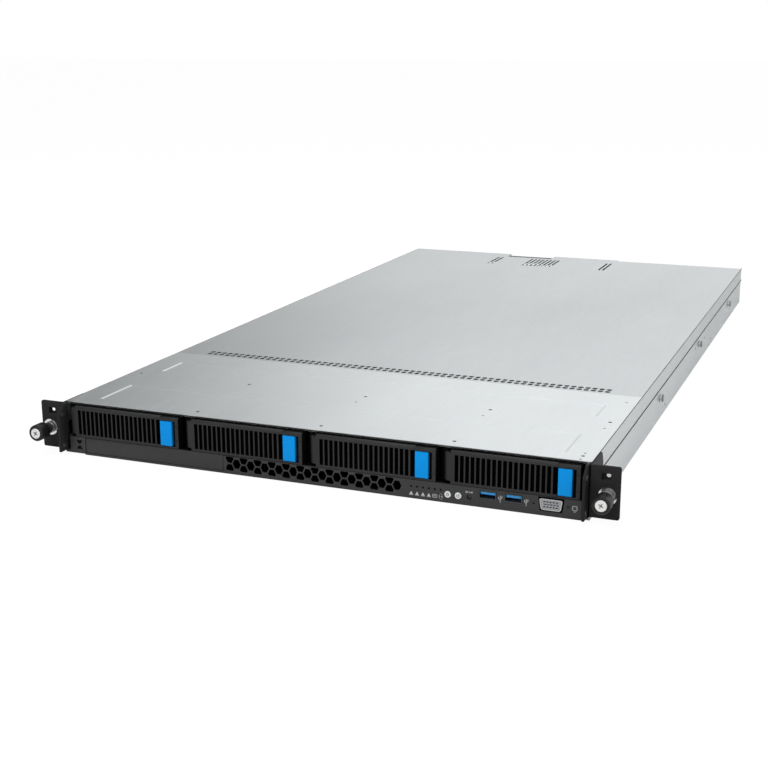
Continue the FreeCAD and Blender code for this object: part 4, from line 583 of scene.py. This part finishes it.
def dress_bay(number, bay):
    """The lever, the latch and the tray front of the drive bay whose middle is at bay."""
    slots, pitch, width, first_slot = 18, 0.00408, 0.0025, -0.0426
    wider = 0.00018  # how far each side of a slot moves out

    def wider_slot(vertex):
        across = vertex.co.x - bay - first_slot
        if -CLOSE < across < slots * pitch - 0.0014 and 0.0174 < vertex.co.z < 0.0381:
            place = across % pitch
            if place < CLOSE or place > pitch - CLOSE:
                vertex.co.x -= wider
            elif abs(place - width) < CLOSE:
                vertex.co.x += wider

    # painted shade: the walls of the lever's slots are painted black
    def slot_wall(place, normal):
        return in_opening(place, normal, (bay - 0.0429, bay + 0.0335), (0.0172, 0.0383))

    def narrower(vertex):
        if vertex.co.x > bay + 0.0452:
            vertex.co.x -= 0.0011

    # painted shade: the tray's side faces, the walls of its pocket and the faces behind its front are painted
    # black
    def tray_shade(place, normal):
        pocket = in_opening(place, normal, (bay + 0.034, bay + 0.048), (0.0166, 0.038))
        return pocket or abs(normal.x) > 0.7 or place.y > FRONT + 0.0005

    softened(f"tray_lever_{number}", f"lever_{number}", 0.00015, reshape=wider_slot, inner=slot_wall)
    softened(f"drive_latch_{number}", f"latch_{number}", 0.0004, reshape=narrower)
    softened(f"drive_tray_{number}", f"tray_{number}", 0.0002, inner=tray_shade)


def dress_strip():
    """The solids of the strip under the bays, with the honeycomb cells of its vents made taller."""
    first, pitch = 0.001, 0.00612  # where the cells' pattern starts, and half its step across
    low, middle, high = 0.0031, 0.009, 0.0146
    stretch = 1.2

    def taller_cell(vertex):
        x, z = vertex.co.x, vertex.co.z
        if -0.0715 < x < 0.0812 and low < z < high:
            if low + 0.0002 < z < high - 0.0002:
                vertex.co.z = middle + (z - middle) * stretch
            else:
                cell = first + pitch * (2 * round(((x - first) / pitch + 1) / 2) - 1)
                vertex.co.x += math.copysign(0.0005, x - cell)

    # painted shade: the walls of the vent cells are painted black
    def cell_wall(place, normal):
        return normal.y < 0.5 and in_opening(place, normal, (-0.0716, 0.0814), (0.0025, 0.0147))

    for node in ("end_block", "blank_plate"):
        softened(node, "case", 0.00018, segments=1)
    for node in ("left_grille", "io_panel"):
        softened(node, "case", 0.00018, segments=1, reshape=taller_cell, inner=cell_wall)


def make_front_shapes():
    """The front's solids with their edges rounded over, the cover and the lid."""
    for number, bay in enumerate(BAYS, 1):
        dress_bay(number, bay)
    for node in ("left_ear", "right_ear"):
        softened(node, "case", 0.00035)
    dress_strip()
    softened("vga_socket", "case", 0.0002)
    make_video_shell()
    slope_beads()
    dress_lid()
    make_seams()
    for name in ("power", "locate", "reset"):
        softened(f"{name}_button", f"{name}_key", 0.0002)


def hexagon_ring(radius, wall, thick):
    """One cell of a screen: a six-sided tube along the Y axis."""
    angles = [math.pi * k / 3 for k in range(6)]
    inner = radius - wall
    loops = [[(r * math.cos(a), y, r * math.sin(a)) for a in angles]
             for y, r in ((0, radius), (0, inner), (thick, inner), (thick, radius))]
    return tube_shape(loops, "hexagon_ring")


def make_screens():
    """The black honeycomb screen that fills each tray's frame behind the lever, made pitch black to paint the
    shade behind the lever's slots.
    """
    radius, wall, thick = 0.0023, 0.0003, 0.0008
    step, rise = 3 * radius, math.sqrt(3) * radius
    cell = hexagon_ring(radius, wall, thick)
    for number, bay in enumerate(BAYS, 1):
        left, low, front = bay - 0.0484, 0.0196, FRONT + 0.0092
        cells = [rows(moved(cell, (left + shift * step / 2, front, low + shift * rise / 2)), BLACK_MARKS_AND_SHADE,
                      (12, (step, 0, 0)), (5, (0, 0, rise))) for shift in (0, 1)]
        rims = [box_shape((bay - 0.0519, front, z), (bay + 0.0342, front + 0.0012, z + 0.0022), 0.0002)
                for z in (0.0156, 0.0385)]
        back = box_shape((bay - 0.0518, front + 0.0014, 0.0157), (bay + 0.0494, front + 0.0018, 0.0405))
        # painted shade: the screen, its rims and its back plate are pitch black
        piece(f"tray_screen_{number}", cells + rims + [back], "fan_plastic", BLACK_MARKS_AND_SHADE, f"tray_{number}")


def slope_beads():
    """The front cover with sloped sides to its two pressed panels."""
    slope_x, slope_y = 0.002, 0.0015  # how far the raised edge stands in from the foot
    raised = TOP - 0.0004
    work = merged_copy("front_cover")
    for start, end in ((0.0196, 0.0686), (0.1166, 0.1536)):
        for vertex in work.verts:
            x, y, z = vertex.co
            if abs(z - raised) < 1e-5 and start - 0.001 < y - FRONT < end + 0.001:
                middle = FRONT + (start + end) / 2
                vertex.co.x -= math.copysign(slope_x, x)
                vertex.co.y -= math.copysign(slope_y, y - middle)
    stand_in("front_cover", work, "case", 5)


def dress_lid():
    """The rear lid with its two rows of vents in line, its front edge turned down, and its upward faces
    painted a darker steel than its sides as shade.
    """
    pitch, start, new_pitch, new_start = 0.006, -0.186, 0.00611, -0.1894
    stretch_x, stretch_y = 1.14, 1.25

    def vent_in_line(vertex):
        x, y, _ = vertex.co
        if abs(x) < 0.1915 and SEAM + 0.003 < y < SEAM + 0.014:
            row = int(y > SEAM + 0.0082)
            count = round((x - start - row * pitch / 2) / pitch)
            middle = start + row * pitch / 2 + count * pitch
            depth = SEAM + 0.0056 + row * 0.0052
            vertex.co.x = new_start + count * new_pitch + (x - middle) * stretch_x
            vertex.co.y = depth + row * 0.0013 + (y - depth) * stretch_y

    def front_edge(edge):
        return all(abs(v.co.y - SEAM) < 0.0004 and v.co.z > TOP - CLOSE for v in edge.verts)

    lid = softened("rear_lid", "lid", 0.0009, chosen=front_edge, segments=1, reshape=vent_in_line)
    # painted shade: the lid's upward faces take the darker steel
    lid.data.materials.append(LID_TOP_SHADE_STEEL)
    for face in lid.data.polygons:
        face.material_index = int(face.normal.z > 0.5)


def make_seams():
    """Dark strips that paint the shade along the folds and in the gaps under the flanges, and the marks
    on the side walls: stud caps, and black dots that paint the shade in the small holes.
    """
    under = TOP - FLANGE
    # painted shade: dark strips in the gaps under the flanges
    flanges = side_strips(HALF_WIDTH, 0.0003, FRONT + 0.003, 0.4205, under - 0.001, under - 0.0001)
    piece("flange_seams", flanges, "bezel_plastic", SEAM_SHADE)
    # painted shade: dark strips along the folds of the cover and the lid
    for name, body, start, end in (("cover_folds", "case", FRONT + 0.002, SEAM - 0.0005),
                                   ("lid_folds", "lid", SEAM + 0.0005, 0.42)):
        folds = side_strips(HALF_WIDTH - 0.00013, 0.00022, start, end, 0.04265, 0.04303)
        piece(name, folds, "case_steel", SEAM_SHADE, body)
    cap = turned_shape([(-0.0001, 0.003), (0.0002, 0.0035), (0.0011, 0.0035)], 32)
    socket = turned_shape([(-0.00004, 0.0022), (-0.00004, 0.0042), (0.0001, 0.0044), (0.0001, 0.0022)], 32,
                          closed=False)
    dot = turned_shape([(-0.00003, 0.0012), (0.0001, 0.0012)], 20)
    stud_height, first_stud, stud_step = 0.02, FRONT + 0.272, 0.224
    caps, dots = [], []
    for side in (-1, 1):
        outward = quarter("Z", side)
        for k in range(3):
            y = first_stud + stud_step * k
            caps.append(moved(cap, (side * (HALF_WIDTH + 0.0032), y, stud_height), outward))
            caps.append(moved(socket, (side * HALF_WIDTH, y, stud_height), outward))
        # painted shade: black dots for the shade in the small holes
        for y, z in SIDE_HOLES:
            dots.append(moved(dot, (side * HALF_WIDTH, FRONT + y, z), outward))
    piece("stud_caps", caps, "case_steel", DULL_STEEL)
    piece("side_holes", dots, "bezel_plastic", BLACK_MARKS_AND_SHADE)


def make_dark_depths():
    """Black pieces that paint the shade seen between and behind the front pieces, with the strip's black foot
    and the end block's dark marks.
    """
    def dark_piece(name, shapes, finish=BLACK_MARKS_AND_SHADE):
        piece(name, shapes, "bezel_plastic", finish)

    # painted shade: black bars in the gaps between the bays, and a thin black shelf under the bays
    gap_shades = [box_shape((x - 0.0021, FRONT + 0.0084, 0.0151), (x + 0.0021, FRONT + 0.0098, 0.041), 0.0003)
              for x in (-0.1082, 0.0, 0.1082)]
    shelf_shade = box_shape((-0.2155, FRONT + 0.001, 0.01462), (0.2155, FRONT + 0.017, 0.01475))
    dark_piece("bay_edge_guards", gap_shades + [shelf_shade])

    # painted shade: a black duct with black cells behind the vents of the strip
    left, right, low, high = -0.0715, 0.081, 0.0011, 0.0134
    mouth, back = FRONT + 0.0025, FRONT + 0.06
    duct = [box_shape((left, mouth, 0.00105), (right, back, 0.0014)),
            box_shape((left, FRONT + 0.0012, 0.0132), (right, back, 0.0136)),
            box_shape((left, mouth, low), (left + 0.0006, back, high)),
            box_shape((right - 0.0006, mouth, low), (right, back, high))]
    cell = hexagon_ring(0.0016, 0.0003, 0.0008)
    step, rise = 0.0048, 0.002771
    duct += [rows(moved(cell, (-0.069 + shift * step / 2, FRONT + 0.045, 0.0028 + shift * 0.001386)),
                  BLACK_MARKS_AND_SHADE, (31, (step, 0, 0)), (4, (0, 0, rise))) for shift in (0, 1)]
    dark_piece("intake_duct", duct)

    x, middle = -0.2053, 0.0086
    marks = [[(x - 0.0029, middle + way * 0.0038), (x - 0.0009, middle + way * 0.0008),
              (x + 0.0009, middle + way * 0.0008), (x + 0.0029, middle + way * 0.0038)] for way in (1, -1)]
    dark_piece("end_block_marks", [plate_shape(outline, PANEL_FACE - INK, 0.0003) for outline in marks])
    foot = [box_shape((-0.2005, FRONT - 0.0012, 0.0003), (0.2142, FRONT + 0.0004, 0.0022), 0.0002),
            box_shape((-0.219, FRONT - 0.0008, 0.0009), (-0.2006, FRONT + 0.0004, 0.003), 0.0002)]
    dark_piece("strip_foot", foot, FINISHES["bezel_plastic"])
    # painted shade: black strips over the front edges of the side walls
    edge_shades = side_strips(0.21885, 0.001, FRONT - 0.0002, FRONT + 0.018, 0.003, 0.0426)
    dark_piece("side_edge_trims", edge_shades)
    # painted shade: a black sheet in the well round the video socket
    well = box_shape((0.1829, FRONT + 0.00075, 0.0041), (0.2019, FRONT + 0.00078, 0.0146))
    dark_piece("video_well", well)


def make_rivets():
    """Flat rivet heads on both faces of the two handle flanges."""
    tall = 0.0008
    head = turned_shape([(0, 0.0016), (0.0003, 0.0021), (tall, 0.0022)], 28)
    heads = [moved(head, (side * (face + way * tall), FRONT - 0.006, z), quarter("Z", side * way))
             for side in (-1, 1) for face, way in ((0.21865, 1), (0.21665, -1)) for z in (0.0082, 0.0342)]
    piece("ear_rivets", heads, "ear_steel", DARK_STEEL_AND_RECESS_SHADE)


def make_video_shell():
    """The bright pressed shell round the video socket's nose, and black discs that paint the shade in the
    socket's pin holes.
    """
    x, z = 0.1924, 0.0093
    half_wide, half_tall, slope, corner_cut = 0.0085, 0.0041, 0.0014, 0.0014
    nose, step, root = FRONT - 0.0021, FRONT - 0.0016, FRONT + 0.0007

    def outline(grow):
        """The shell's outline with cut corners, narrower at its foot."""
        half, tall, cut = half_wide + grow, half_tall + grow, corner_cut + grow
        corners = [Vector(corner) for corner in ((-half + slope, -tall), (half - slope, -tall),
                                                 (half, tall), (-half, tall))]
        points = []
        for k, corner in enumerate(corners):
            one = corner + (corners[k - 1] - corner).normalized() * cut
            two = corner + (corners[(k + 1) % 4] - corner).normalized() * cut
            points += [one, (one + two) / 4 + corner / 2, two]
        return [(x + point.x, z + point.y) for point in points]

    wall = ((nose, 0.0001), (nose, -0.0005), (step, -0.0005), (step, 0.00002), (root, 0.00002),
            (root, 0.0001))
    # painted shade: black discs stand for the shade in the pin holes
    pin = turned_shape([(-0.00003, 0.00052), (0.0002, 0.00052)], 16)
    pins = [moved(pin, (x + (column - 2) * 0.0023 + shift, FRONT - 0.00178, z + rise))
            for rise, shift in ((0.0019, -0.0004), (0, 0.0004), (-0.0019, -0.0004)) for column in range(5)]
    piece("video_pin_holes", pins, "socket_plastic", BLACK_MARKS_AND_SHADE)
    shell = tube_shape([[(across, y, up) for across, up in outline(grow)] for y, grow in wall], "video_shell")
    piece("video_shell", shell, "shell_metal", smooth=60)


INK = 0.00004  # how far printed ink stands out
LINE = 0.00034  # the width of a printed line


def triangle(x, z, size):
    """A triangle that points up."""
    return [(x - size, z - size * 0.8), (x + size, z - size * 0.8), (x, z + size)]


def stroke(x0, z0, x1, z1, wide=LINE):
    """A straight stroke of an icon, as a thin bar."""
    along = Vector((x1 - x0, z1 - z0)).normalized() * wide / 2
    across = Vector((-along.y, along.x))
    one, two = Vector((x0, z0)) - along, Vector((x1, z1)) + along
    return [tuple(one - across), tuple(two - across), tuple(two + across), tuple(one + across)]


def ring_strokes(x, z, radius, start=0, end=360, steps=14):
    """A round stroke as short bars."""
    angles = [math.radians(start + (end - start) * k / steps) for k in range(steps + 1)]
    points = [(x + radius * math.cos(a), z + radius * math.sin(a)) for a in angles]
    return [stroke(*one, *two) for one, two in zip(points, points[1:])]


def frame_strokes(x, z, half_x, half_z, wide=LINE):
    """A rectangular stroke as four bars."""
    corners = [(x + across * half_x, z + up * half_z) for across, up in ((-1, -1), (1, -1), (1, 1), (-1, 1))]
    return [stroke(*one, *two, wide) for one, two in zip(corners, corners[1:] + corners[:1])]


def port_sign(x):
    """The branched sign beside a data socket."""
    return [stroke(x, 0.0062, x, 0.0112), stroke(x - 0.0012, 0.009, x, 0.0074),
            stroke(x + 0.0012, 0.0098, x, 0.0082),
            stroke(x - 0.0012, 0.009, x - 0.0012, 0.01, LINE * 1.8),
            stroke(x + 0.0012, 0.0098, x + 0.0012, 0.0106, LINE * 1.8)]


def print_icons(name, outlines, front, slot, finish, body="case"):
    """Generic pictograms as thin raised ink on a face."""
    ink = [plate_shape(outline, front - INK, 0.0001) for outline in outlines]
    piece(name, ink, slot, finish, body)


def make_icons():
    """Pictograms beside the lamps, the buttons and the sockets."""
    white = []
    for k in range(4):
        x = LAMP_START + LAMP_STEP * k
        white += [triangle(x, 0.0047, 0.0014), stroke(x - 0.0015, 0.0032, x + 0.0015, 0.0032, LINE * 0.8)]
    x = LAMP_START + LAMP_STEP * 4
    white += frame_strokes(x, 0.0046, 0.0017, 0.0011) + [stroke(x - 0.0008, 0.0046, x + 0.0008, 0.0046)]
    x, low, high, half = LAMP_START + LAMP_STEP * 5, 0.0036, 0.0058, 0.0011
    white += ring_strokes(x, high, half) + ring_strokes(x, low, half, 180, 360, 7)
    white += [stroke(x + way * half, low, x + way * half, high) for way in (-1, 1)]
    x, z = 0.131, 0.0108
    white += [[(x - 0.002, z - 0.0007), (x - 0.0008, z), (x - 0.002, z + 0.0007)],
              [(x + 0.002, z - 0.0007), (x + 0.002, z + 0.0007), (x + 0.0008, z)]]
    white += [stroke(x + shift, z - 0.0006, x + shift, z + 0.0006) for shift in (0, -0.0025, 0.0025)]
    white += port_sign(0.1547) + port_sign(0.1741)
    x = 0.2097
    white += frame_strokes(x, 0.0088, 0.0016, 0.0016, LINE * 1.3)
    white += [stroke(x - 0.0008, 0.0062, x + 0.0008, 0.0062)]
    print_icons("panel_icons", white, PANEL_FACE, "front_black", ICON_WHITE)
    height, radius = 0.007, 0.001
    power = ring_strokes(0.1144, height, radius, 120, 420) + [stroke(0.1144, 0.0071, 0.1144, 0.0084)]
    locate = ring_strokes(0.1225, height, radius) + [stroke(0.123, 0.0075, 0.1238, 0.0083)]
    for sign, strokes in (("power", power), ("locate", locate)):
        print_icons(f"{sign}_icon", strokes, FRONT - 0.0018, "button_plastic", CHIP_BLACK, f"{sign}_key")


def make_usb_parts():
    """The upper faces of the two tongues painted paler blue as a highlight, and the tongues' contacts."""
    half, first, step, half_contact = 0.0055, -0.0038, 0.00253, 0.0005
    pale, gold = [], []
    for x in (0.145, 0.1644):
        # painted highlight: the upper face of each tongue is paler blue
        pale.append(box_shape((x - half, FRONT - 0.0004, 0.01085),
                              (x + half, FRONT + 0.0002, 0.01225), 0.0002))
        for k in range(4):
            middle = x + first + step * k
            gold.append(box_shape((middle - half_contact, FRONT - 0.0002, 0.01035),
                                  (middle + half_contact, FRONT + 0.007, 0.01055)))
    piece("usb_tongue_fronts", pale, "tongue_plastic", BLUE_PAINTED_HIGHLIGHT)
    piece("usb_contacts", gold, "shell_metal", GOLD)


def make_cover_marks():
    """A dark strip under the cover's front that paints the shade on its lip, and black discs that paint the
    shade of the small pressed marks in its top.
    """
    # painted shade: a thin dark strip on the cover's front lip
    strip = box_shape((-0.2165, FRONT + 0.00425, 0.0416), (0.2165, FRONT + 0.0044, 0.0426), 0.00006)
    piece("cover_edge_strip", strip, "bezel_plastic")
    mark = turned_shape([(0, 0.0009), (0.0001, 0.001), (0.0003, 0.001)], 20)
    mark.transform(quarter("X", -1))
    places = ((0.2104, 0.0076), (0.2103, 0.0223), (0.21, 0.0873), (0.2108, 0.1652), (0.113, 0.0873),
              (0.0043, 0.0871))
    # painted shade: black discs in the small pressed marks
    marks = [moved(mark, (x, FRONT + y, TOP + 0.00003)) for x, y in places]
    piece("cover_marks", marks, "case_steel", FINISHES["fan_plastic"])


def make_lamps():
    """Smoked lenses in the lamp holes of the trays and of the panel."""
    lens = turned_shape([(0, 0), (0.00012, 0.0003), (0.0004, 0.00052), (0.0015, 0.00055)], 20)
    for number, bay in enumerate(BAYS, 1):
        pair = [moved(lens, (bay + 0.0492, FRONT - 0.001, z)) for z in (0.0217, 0.0338)]
        piece(f"tray_lamps_{number}", pair, "tray_metal", LAMP_CLEAR, f"tray_{number}")
    wide = moved(lens, (LAMP_START, FRONT - 0.0003, 0.0099), Matrix.Scale(1.55, 4))
    piece("panel_lamps", rows(wide, LAMP_CLEAR, (6, (LAMP_STEP, 0, 0))), "front_black", LAMP_CLEAR)


# ---------------- inside

BOARD_TOP = 0.0086
GROUPS = (-0.2056, -0.0606, 0.0074, 0.1524)  # the first module of each memory group
MODULE_FRONT = -0.12495
MODULES, MODULE_PITCH = 8, 0.0076  # in each group
PROCESSORS = (-0.107, 0.107)


def make_memory_parts():
    """Chips on both faces of every module, and the sockets' end levers."""
    thick, along = 0.0009, MODULE_FRONT + 0.006
    across = (MODULES, (MODULE_PITCH, 0, 0))
    chips, levers = [], []
    for first in GROUPS:
        for side in (-1, 1):
            face = first + side * 0.00065
            near, far = sorted((face, face + side * thick))
            chip = box_shape((near, along, 0.0205), (far, along + 0.0085, 0.0325), 0.0001)
            chips.append(rows(chip, CHIP_BLACK, across, (10, (0, 0.0124, 0))))
        lever = box_shape((first - 0.0022, MODULE_FRONT - 0.0062, 0.0165),
                          (first + 0.0022, MODULE_FRONT - 0.0012, 0.0265), 0.0005)
        levers.append(rows(lever, CHIP_BLACK, across, (2, (0, 0.1408, 0))))
    piece("memory_chips", chips, "circuit_board", CHIP_BLACK)
    piece("memory_levers", levers, "circuit_board", FINISHES["socket_plastic"])


def standing(profile, steps):
    """A turned shape that stands on the board, its profile given upwards."""
    shape = turned_shape(profile, steps)
    shape.transform(quarter("X"))
    return shape


def make_board_parts():
    """Coils, capacitors, chips, plugs, screws and a battery on the main board."""
    can = standing([(0, 0.0034), (0.0006, 0.0036), (0.0064, 0.0036), (0.007, 0.0032)], 20)
    coil = box_shape((-0.0045, -0.0045, 0), (0.0045, 0.0045, 0.0058), 0.0007)
    coil_row = (7, (0.011, 0, 0))
    cans, coils = [], []
    for x in PROCESSORS:
        cans.append(rows(moved(can, (x - 0.034, -0.13, BOARD_TOP)), SILVER, (8, (0.0098, 0, 0))))
        coils.append(rows(moved(coil, (x - 0.033, 0.002, BOARD_TOP)), CHIP_BLACK, coil_row))
        cans.append(rows(moved(can, (x - 0.033, 0.013, BOARD_TOP)), SILVER, coil_row))
    piece("board_cans", cans, "shell_metal", SILVER)
    piece("board_coils", coils, "fan_plastic", CHIP_BLACK)

    chip = box_shape((-0.007, -0.007, 0), (0.007, 0.007, 0.0016), 0.0002)
    small = box_shape((-0.0025, -0.002, 0), (0.0025, 0.002, 0.0011), 0.0001)
    spots = ((-0.02, 0.09), (0.03, 0.12), (-0.06, 0.27), (0.02, 0.3), (-0.18, 0.16), (0.18, 0.06),
             (-0.03, 0.355))
    chips = [moved(chip, (x, y, BOARD_TOP)) for x, y in spots]
    for y, across, up in ((0.05, (18, 0.0225), (3, 0.041)), (0.21, (12, 0.0205), (4, 0.046))):
        chips.append(rows(moved(small, (-0.2, y, BOARD_TOP)), CHIP_BLACK, (across[0], (across[1], 0, 0)),
                          (up[0], (0, up[1], 0))))
    piece("board_chips", chips, "fan_plastic", CHIP_BLACK)

    white = FINISHES["button_plastic"]
    header = box_shape((-0.0065, -0.003, 0), (0.0065, 0.003, 0.009), 0.0003)
    header = moved(header, (-0.18, -0.162, BOARD_TOP))
    piece("fan_plugs", rows(header, white, (7, (0.06, 0, 0))), "button_plastic")
    head = standing([(0, 0.003), (0.0008, 0.003), (0.0016, 0.0024), (0.0019, 0.0012)], 24)
    spots = [(x, y) for x in (-0.207, 0.0, 0.207) for y in (-0.163, 0.025)]
    spots += [(-0.207, 0.2), (0.03, 0.2), (-0.207, 0.4), (0.03, 0.4)]
    piece("board_screws", [moved(head, (x, y, BOARD_TOP)) for x, y in spots], "shell_metal", SILVER)
    screw = standing([(0, 0.0034), (0.004, 0.0034), (0.0046, 0.0026)], 24)
    screws = [moved(screw, (x + dx, y, 0.0216)) for x in PROCESSORS for dx in (-0.034, 0.034)
              for y in (-0.111, -0.0155)]
    piece("sink_screws", screws, "shell_metal", SILVER)

    left, front, back = -0.035, 0.15, 0.195
    fin = box_shape((left, front, BOARD_TOP + 0.003), (left + 0.0012, back, BOARD_TOP + 0.016))
    sink = [box_shape((left, front, BOARD_TOP), (0.015, back, BOARD_TOP + 0.004), 0.0003),
            rows(fin, FINISHES["sink_metal"], (13, (0.00406, 0, 0)))]
    piece("chipset_sink", sink, "sink_metal")
    battery = standing([(0, 0.01), (0.0028, 0.01), (0.0032, 0.0094)], 40)
    piece("board_battery", moved(battery, (-0.13, 0.24, BOARD_TOP + 0.001)), "shell_metal", SILVER)


# ---------------- rear

def rim_shape(outline, grow, low, high):
    """A flat rim round an opening, between two depths."""
    outline = [Vector(point) for point in outline]
    middle = sum(outline, Vector((0, 0))) / len(outline)
    loops = []
    for y, wide in ((low, 0), (high, 0), (high, grow), (low, grow)):
        points = [point + (point - middle).normalized() * wide for point in outline]
        loops.append([(point.x, y, point.y) for point in points])
    return tube_shape(loops, "rim_shape")


def make_supply_rears():
    """The black insert in each supply's inlet, and its lamp."""
    lens = turned_shape([(0.0006, 0), (0.0005, 0.0008), (0.0002, 0.0012), (-0.0004, 0.0013)], 24)
    half, tall, cut = 0.0125, 0.00825, 0.0045
    shape = [(-half, -tall), (half, -tall), (half, tall - cut), (half - cut, tall), (cut - half, tall),
             (-half, tall - cut)]
    snug = 0.975
    for number, middle in ((1, 0.1034), (2, 0.1799)):
        x, z = middle + 0.022, 0.0305
        mouth = [(x + across * snug, z + up * snug) for across, up in shape]
        insert = [rim_shape(mouth, 0.0003, REAR_WALL - 0.0149, REAR_WALL - 0.0001),
                  rim_shape(mouth, 0.0014, REAR_WALL - 0.0002, REAR_WALL + 0.0008),
                  moved(plate_shape(mouth, 0, 0.0004), (0, REAR_WALL - 0.015, 0))]
        supply = f"supply_{number}"
        piece(f"inlet_insert_{number}", insert, "supply_metal", CHIP_BLACK, supply)
        lamp = moved(lens, (middle + 0.03, REAR_WALL, 0.0115))
        piece(f"supply_lamp_{number}", lamp, "latch_green", LAMP_GREEN, supply)


def make_network_parts():
    """The linings, contacts and lamps of the three network sockets."""
    linings, contacts, green, amber = [], [], [], []
    face = REAR_WALL + 0.0006
    back, mouth, thin = face - 0.012, face - 0.0004, 0.0003
    low, high, half = 0.012, 0.0204, 0.0059
    for x in (0.011, 0.0286, 0.0462):
        linings += [box_shape((x - half, back, low), (x - half + thin, mouth, high)),
                    box_shape((x + half - thin, back, low), (x + half, mouth, high)),
                    box_shape((x - half, back, high - thin), (x + half, mouth, high)),
                    box_shape((x - half, back, low), (x + half, back + thin, high))]
        contact = box_shape((x - 0.0037, back + 0.0004, high - 0.0016),
                            (x - 0.0033, face - 0.003, high - 0.0011))
        contacts.append(rows(contact, GOLD, (8, (0.00102, 0, 0))))
        for lamps, middle in ((green, x - 0.0063), (amber, x + 0.0063)):
            lamps.append(box_shape((middle - 0.0015, mouth, 0.0092),
                                   (middle + 0.0015, face + 0.0002, 0.0112), 0.0002))
    for name, shapes, finish, slot in (("linings", linings, CHIP_BLACK, "shell_metal"),
                                       ("contacts", contacts, GOLD, "shell_metal"),
                                       ("lamps_green", green, LAMP_GREEN, "latch_green"),
                                       ("lamps_amber", amber, LAMP_AMBER, "latch_green")):
        piece(f"network_{name}", shapes, slot, finish)


def make_rear_screws():
    """Domed screws with a cross recess in the rear wall."""
    head = turned_shape([(0.0011, 0), (0.001, 0.0014), (0.0006, 0.0024), (0, 0.0026)], 32)
    cross = cross_of(box_shape((-0.0013, 0.0008, -0.00022), (0.0013, 0.00116, 0.00022)))
    spots = ((0.003, 0.0345), (0.056, 0.0345), (-0.088, 0.0345), (-0.088, 0.0075))
    # the crosses' dark finish paints the shade of the recesses
    for name, shape, finish in (("rear_screws", head, SILVER), ("rear_screw_crosses", cross, DARK_STEEL_AND_RECESS_SHADE)):
        piece(name, [moved(shape, (x, REAR_WALL, z)) for x, z in spots], "case_steel", finish)


make_camera()
make_world()
make_light("key", (-0.3, -1.9, 1.9), 1.6, 30)
make_light("fill", (1.7, -0.6, 1.9), 1.4, 12)
make_floor()
dress_nodes()
for make in (make_front_shapes, make_thumbscrews, make_dark_depths, make_rivets, make_screens, make_icons,
             make_usb_parts, make_cover_marks, make_lamps, make_memory_parts, make_board_parts,
             make_supply_rears, make_network_parts, make_rear_screws):
    make()
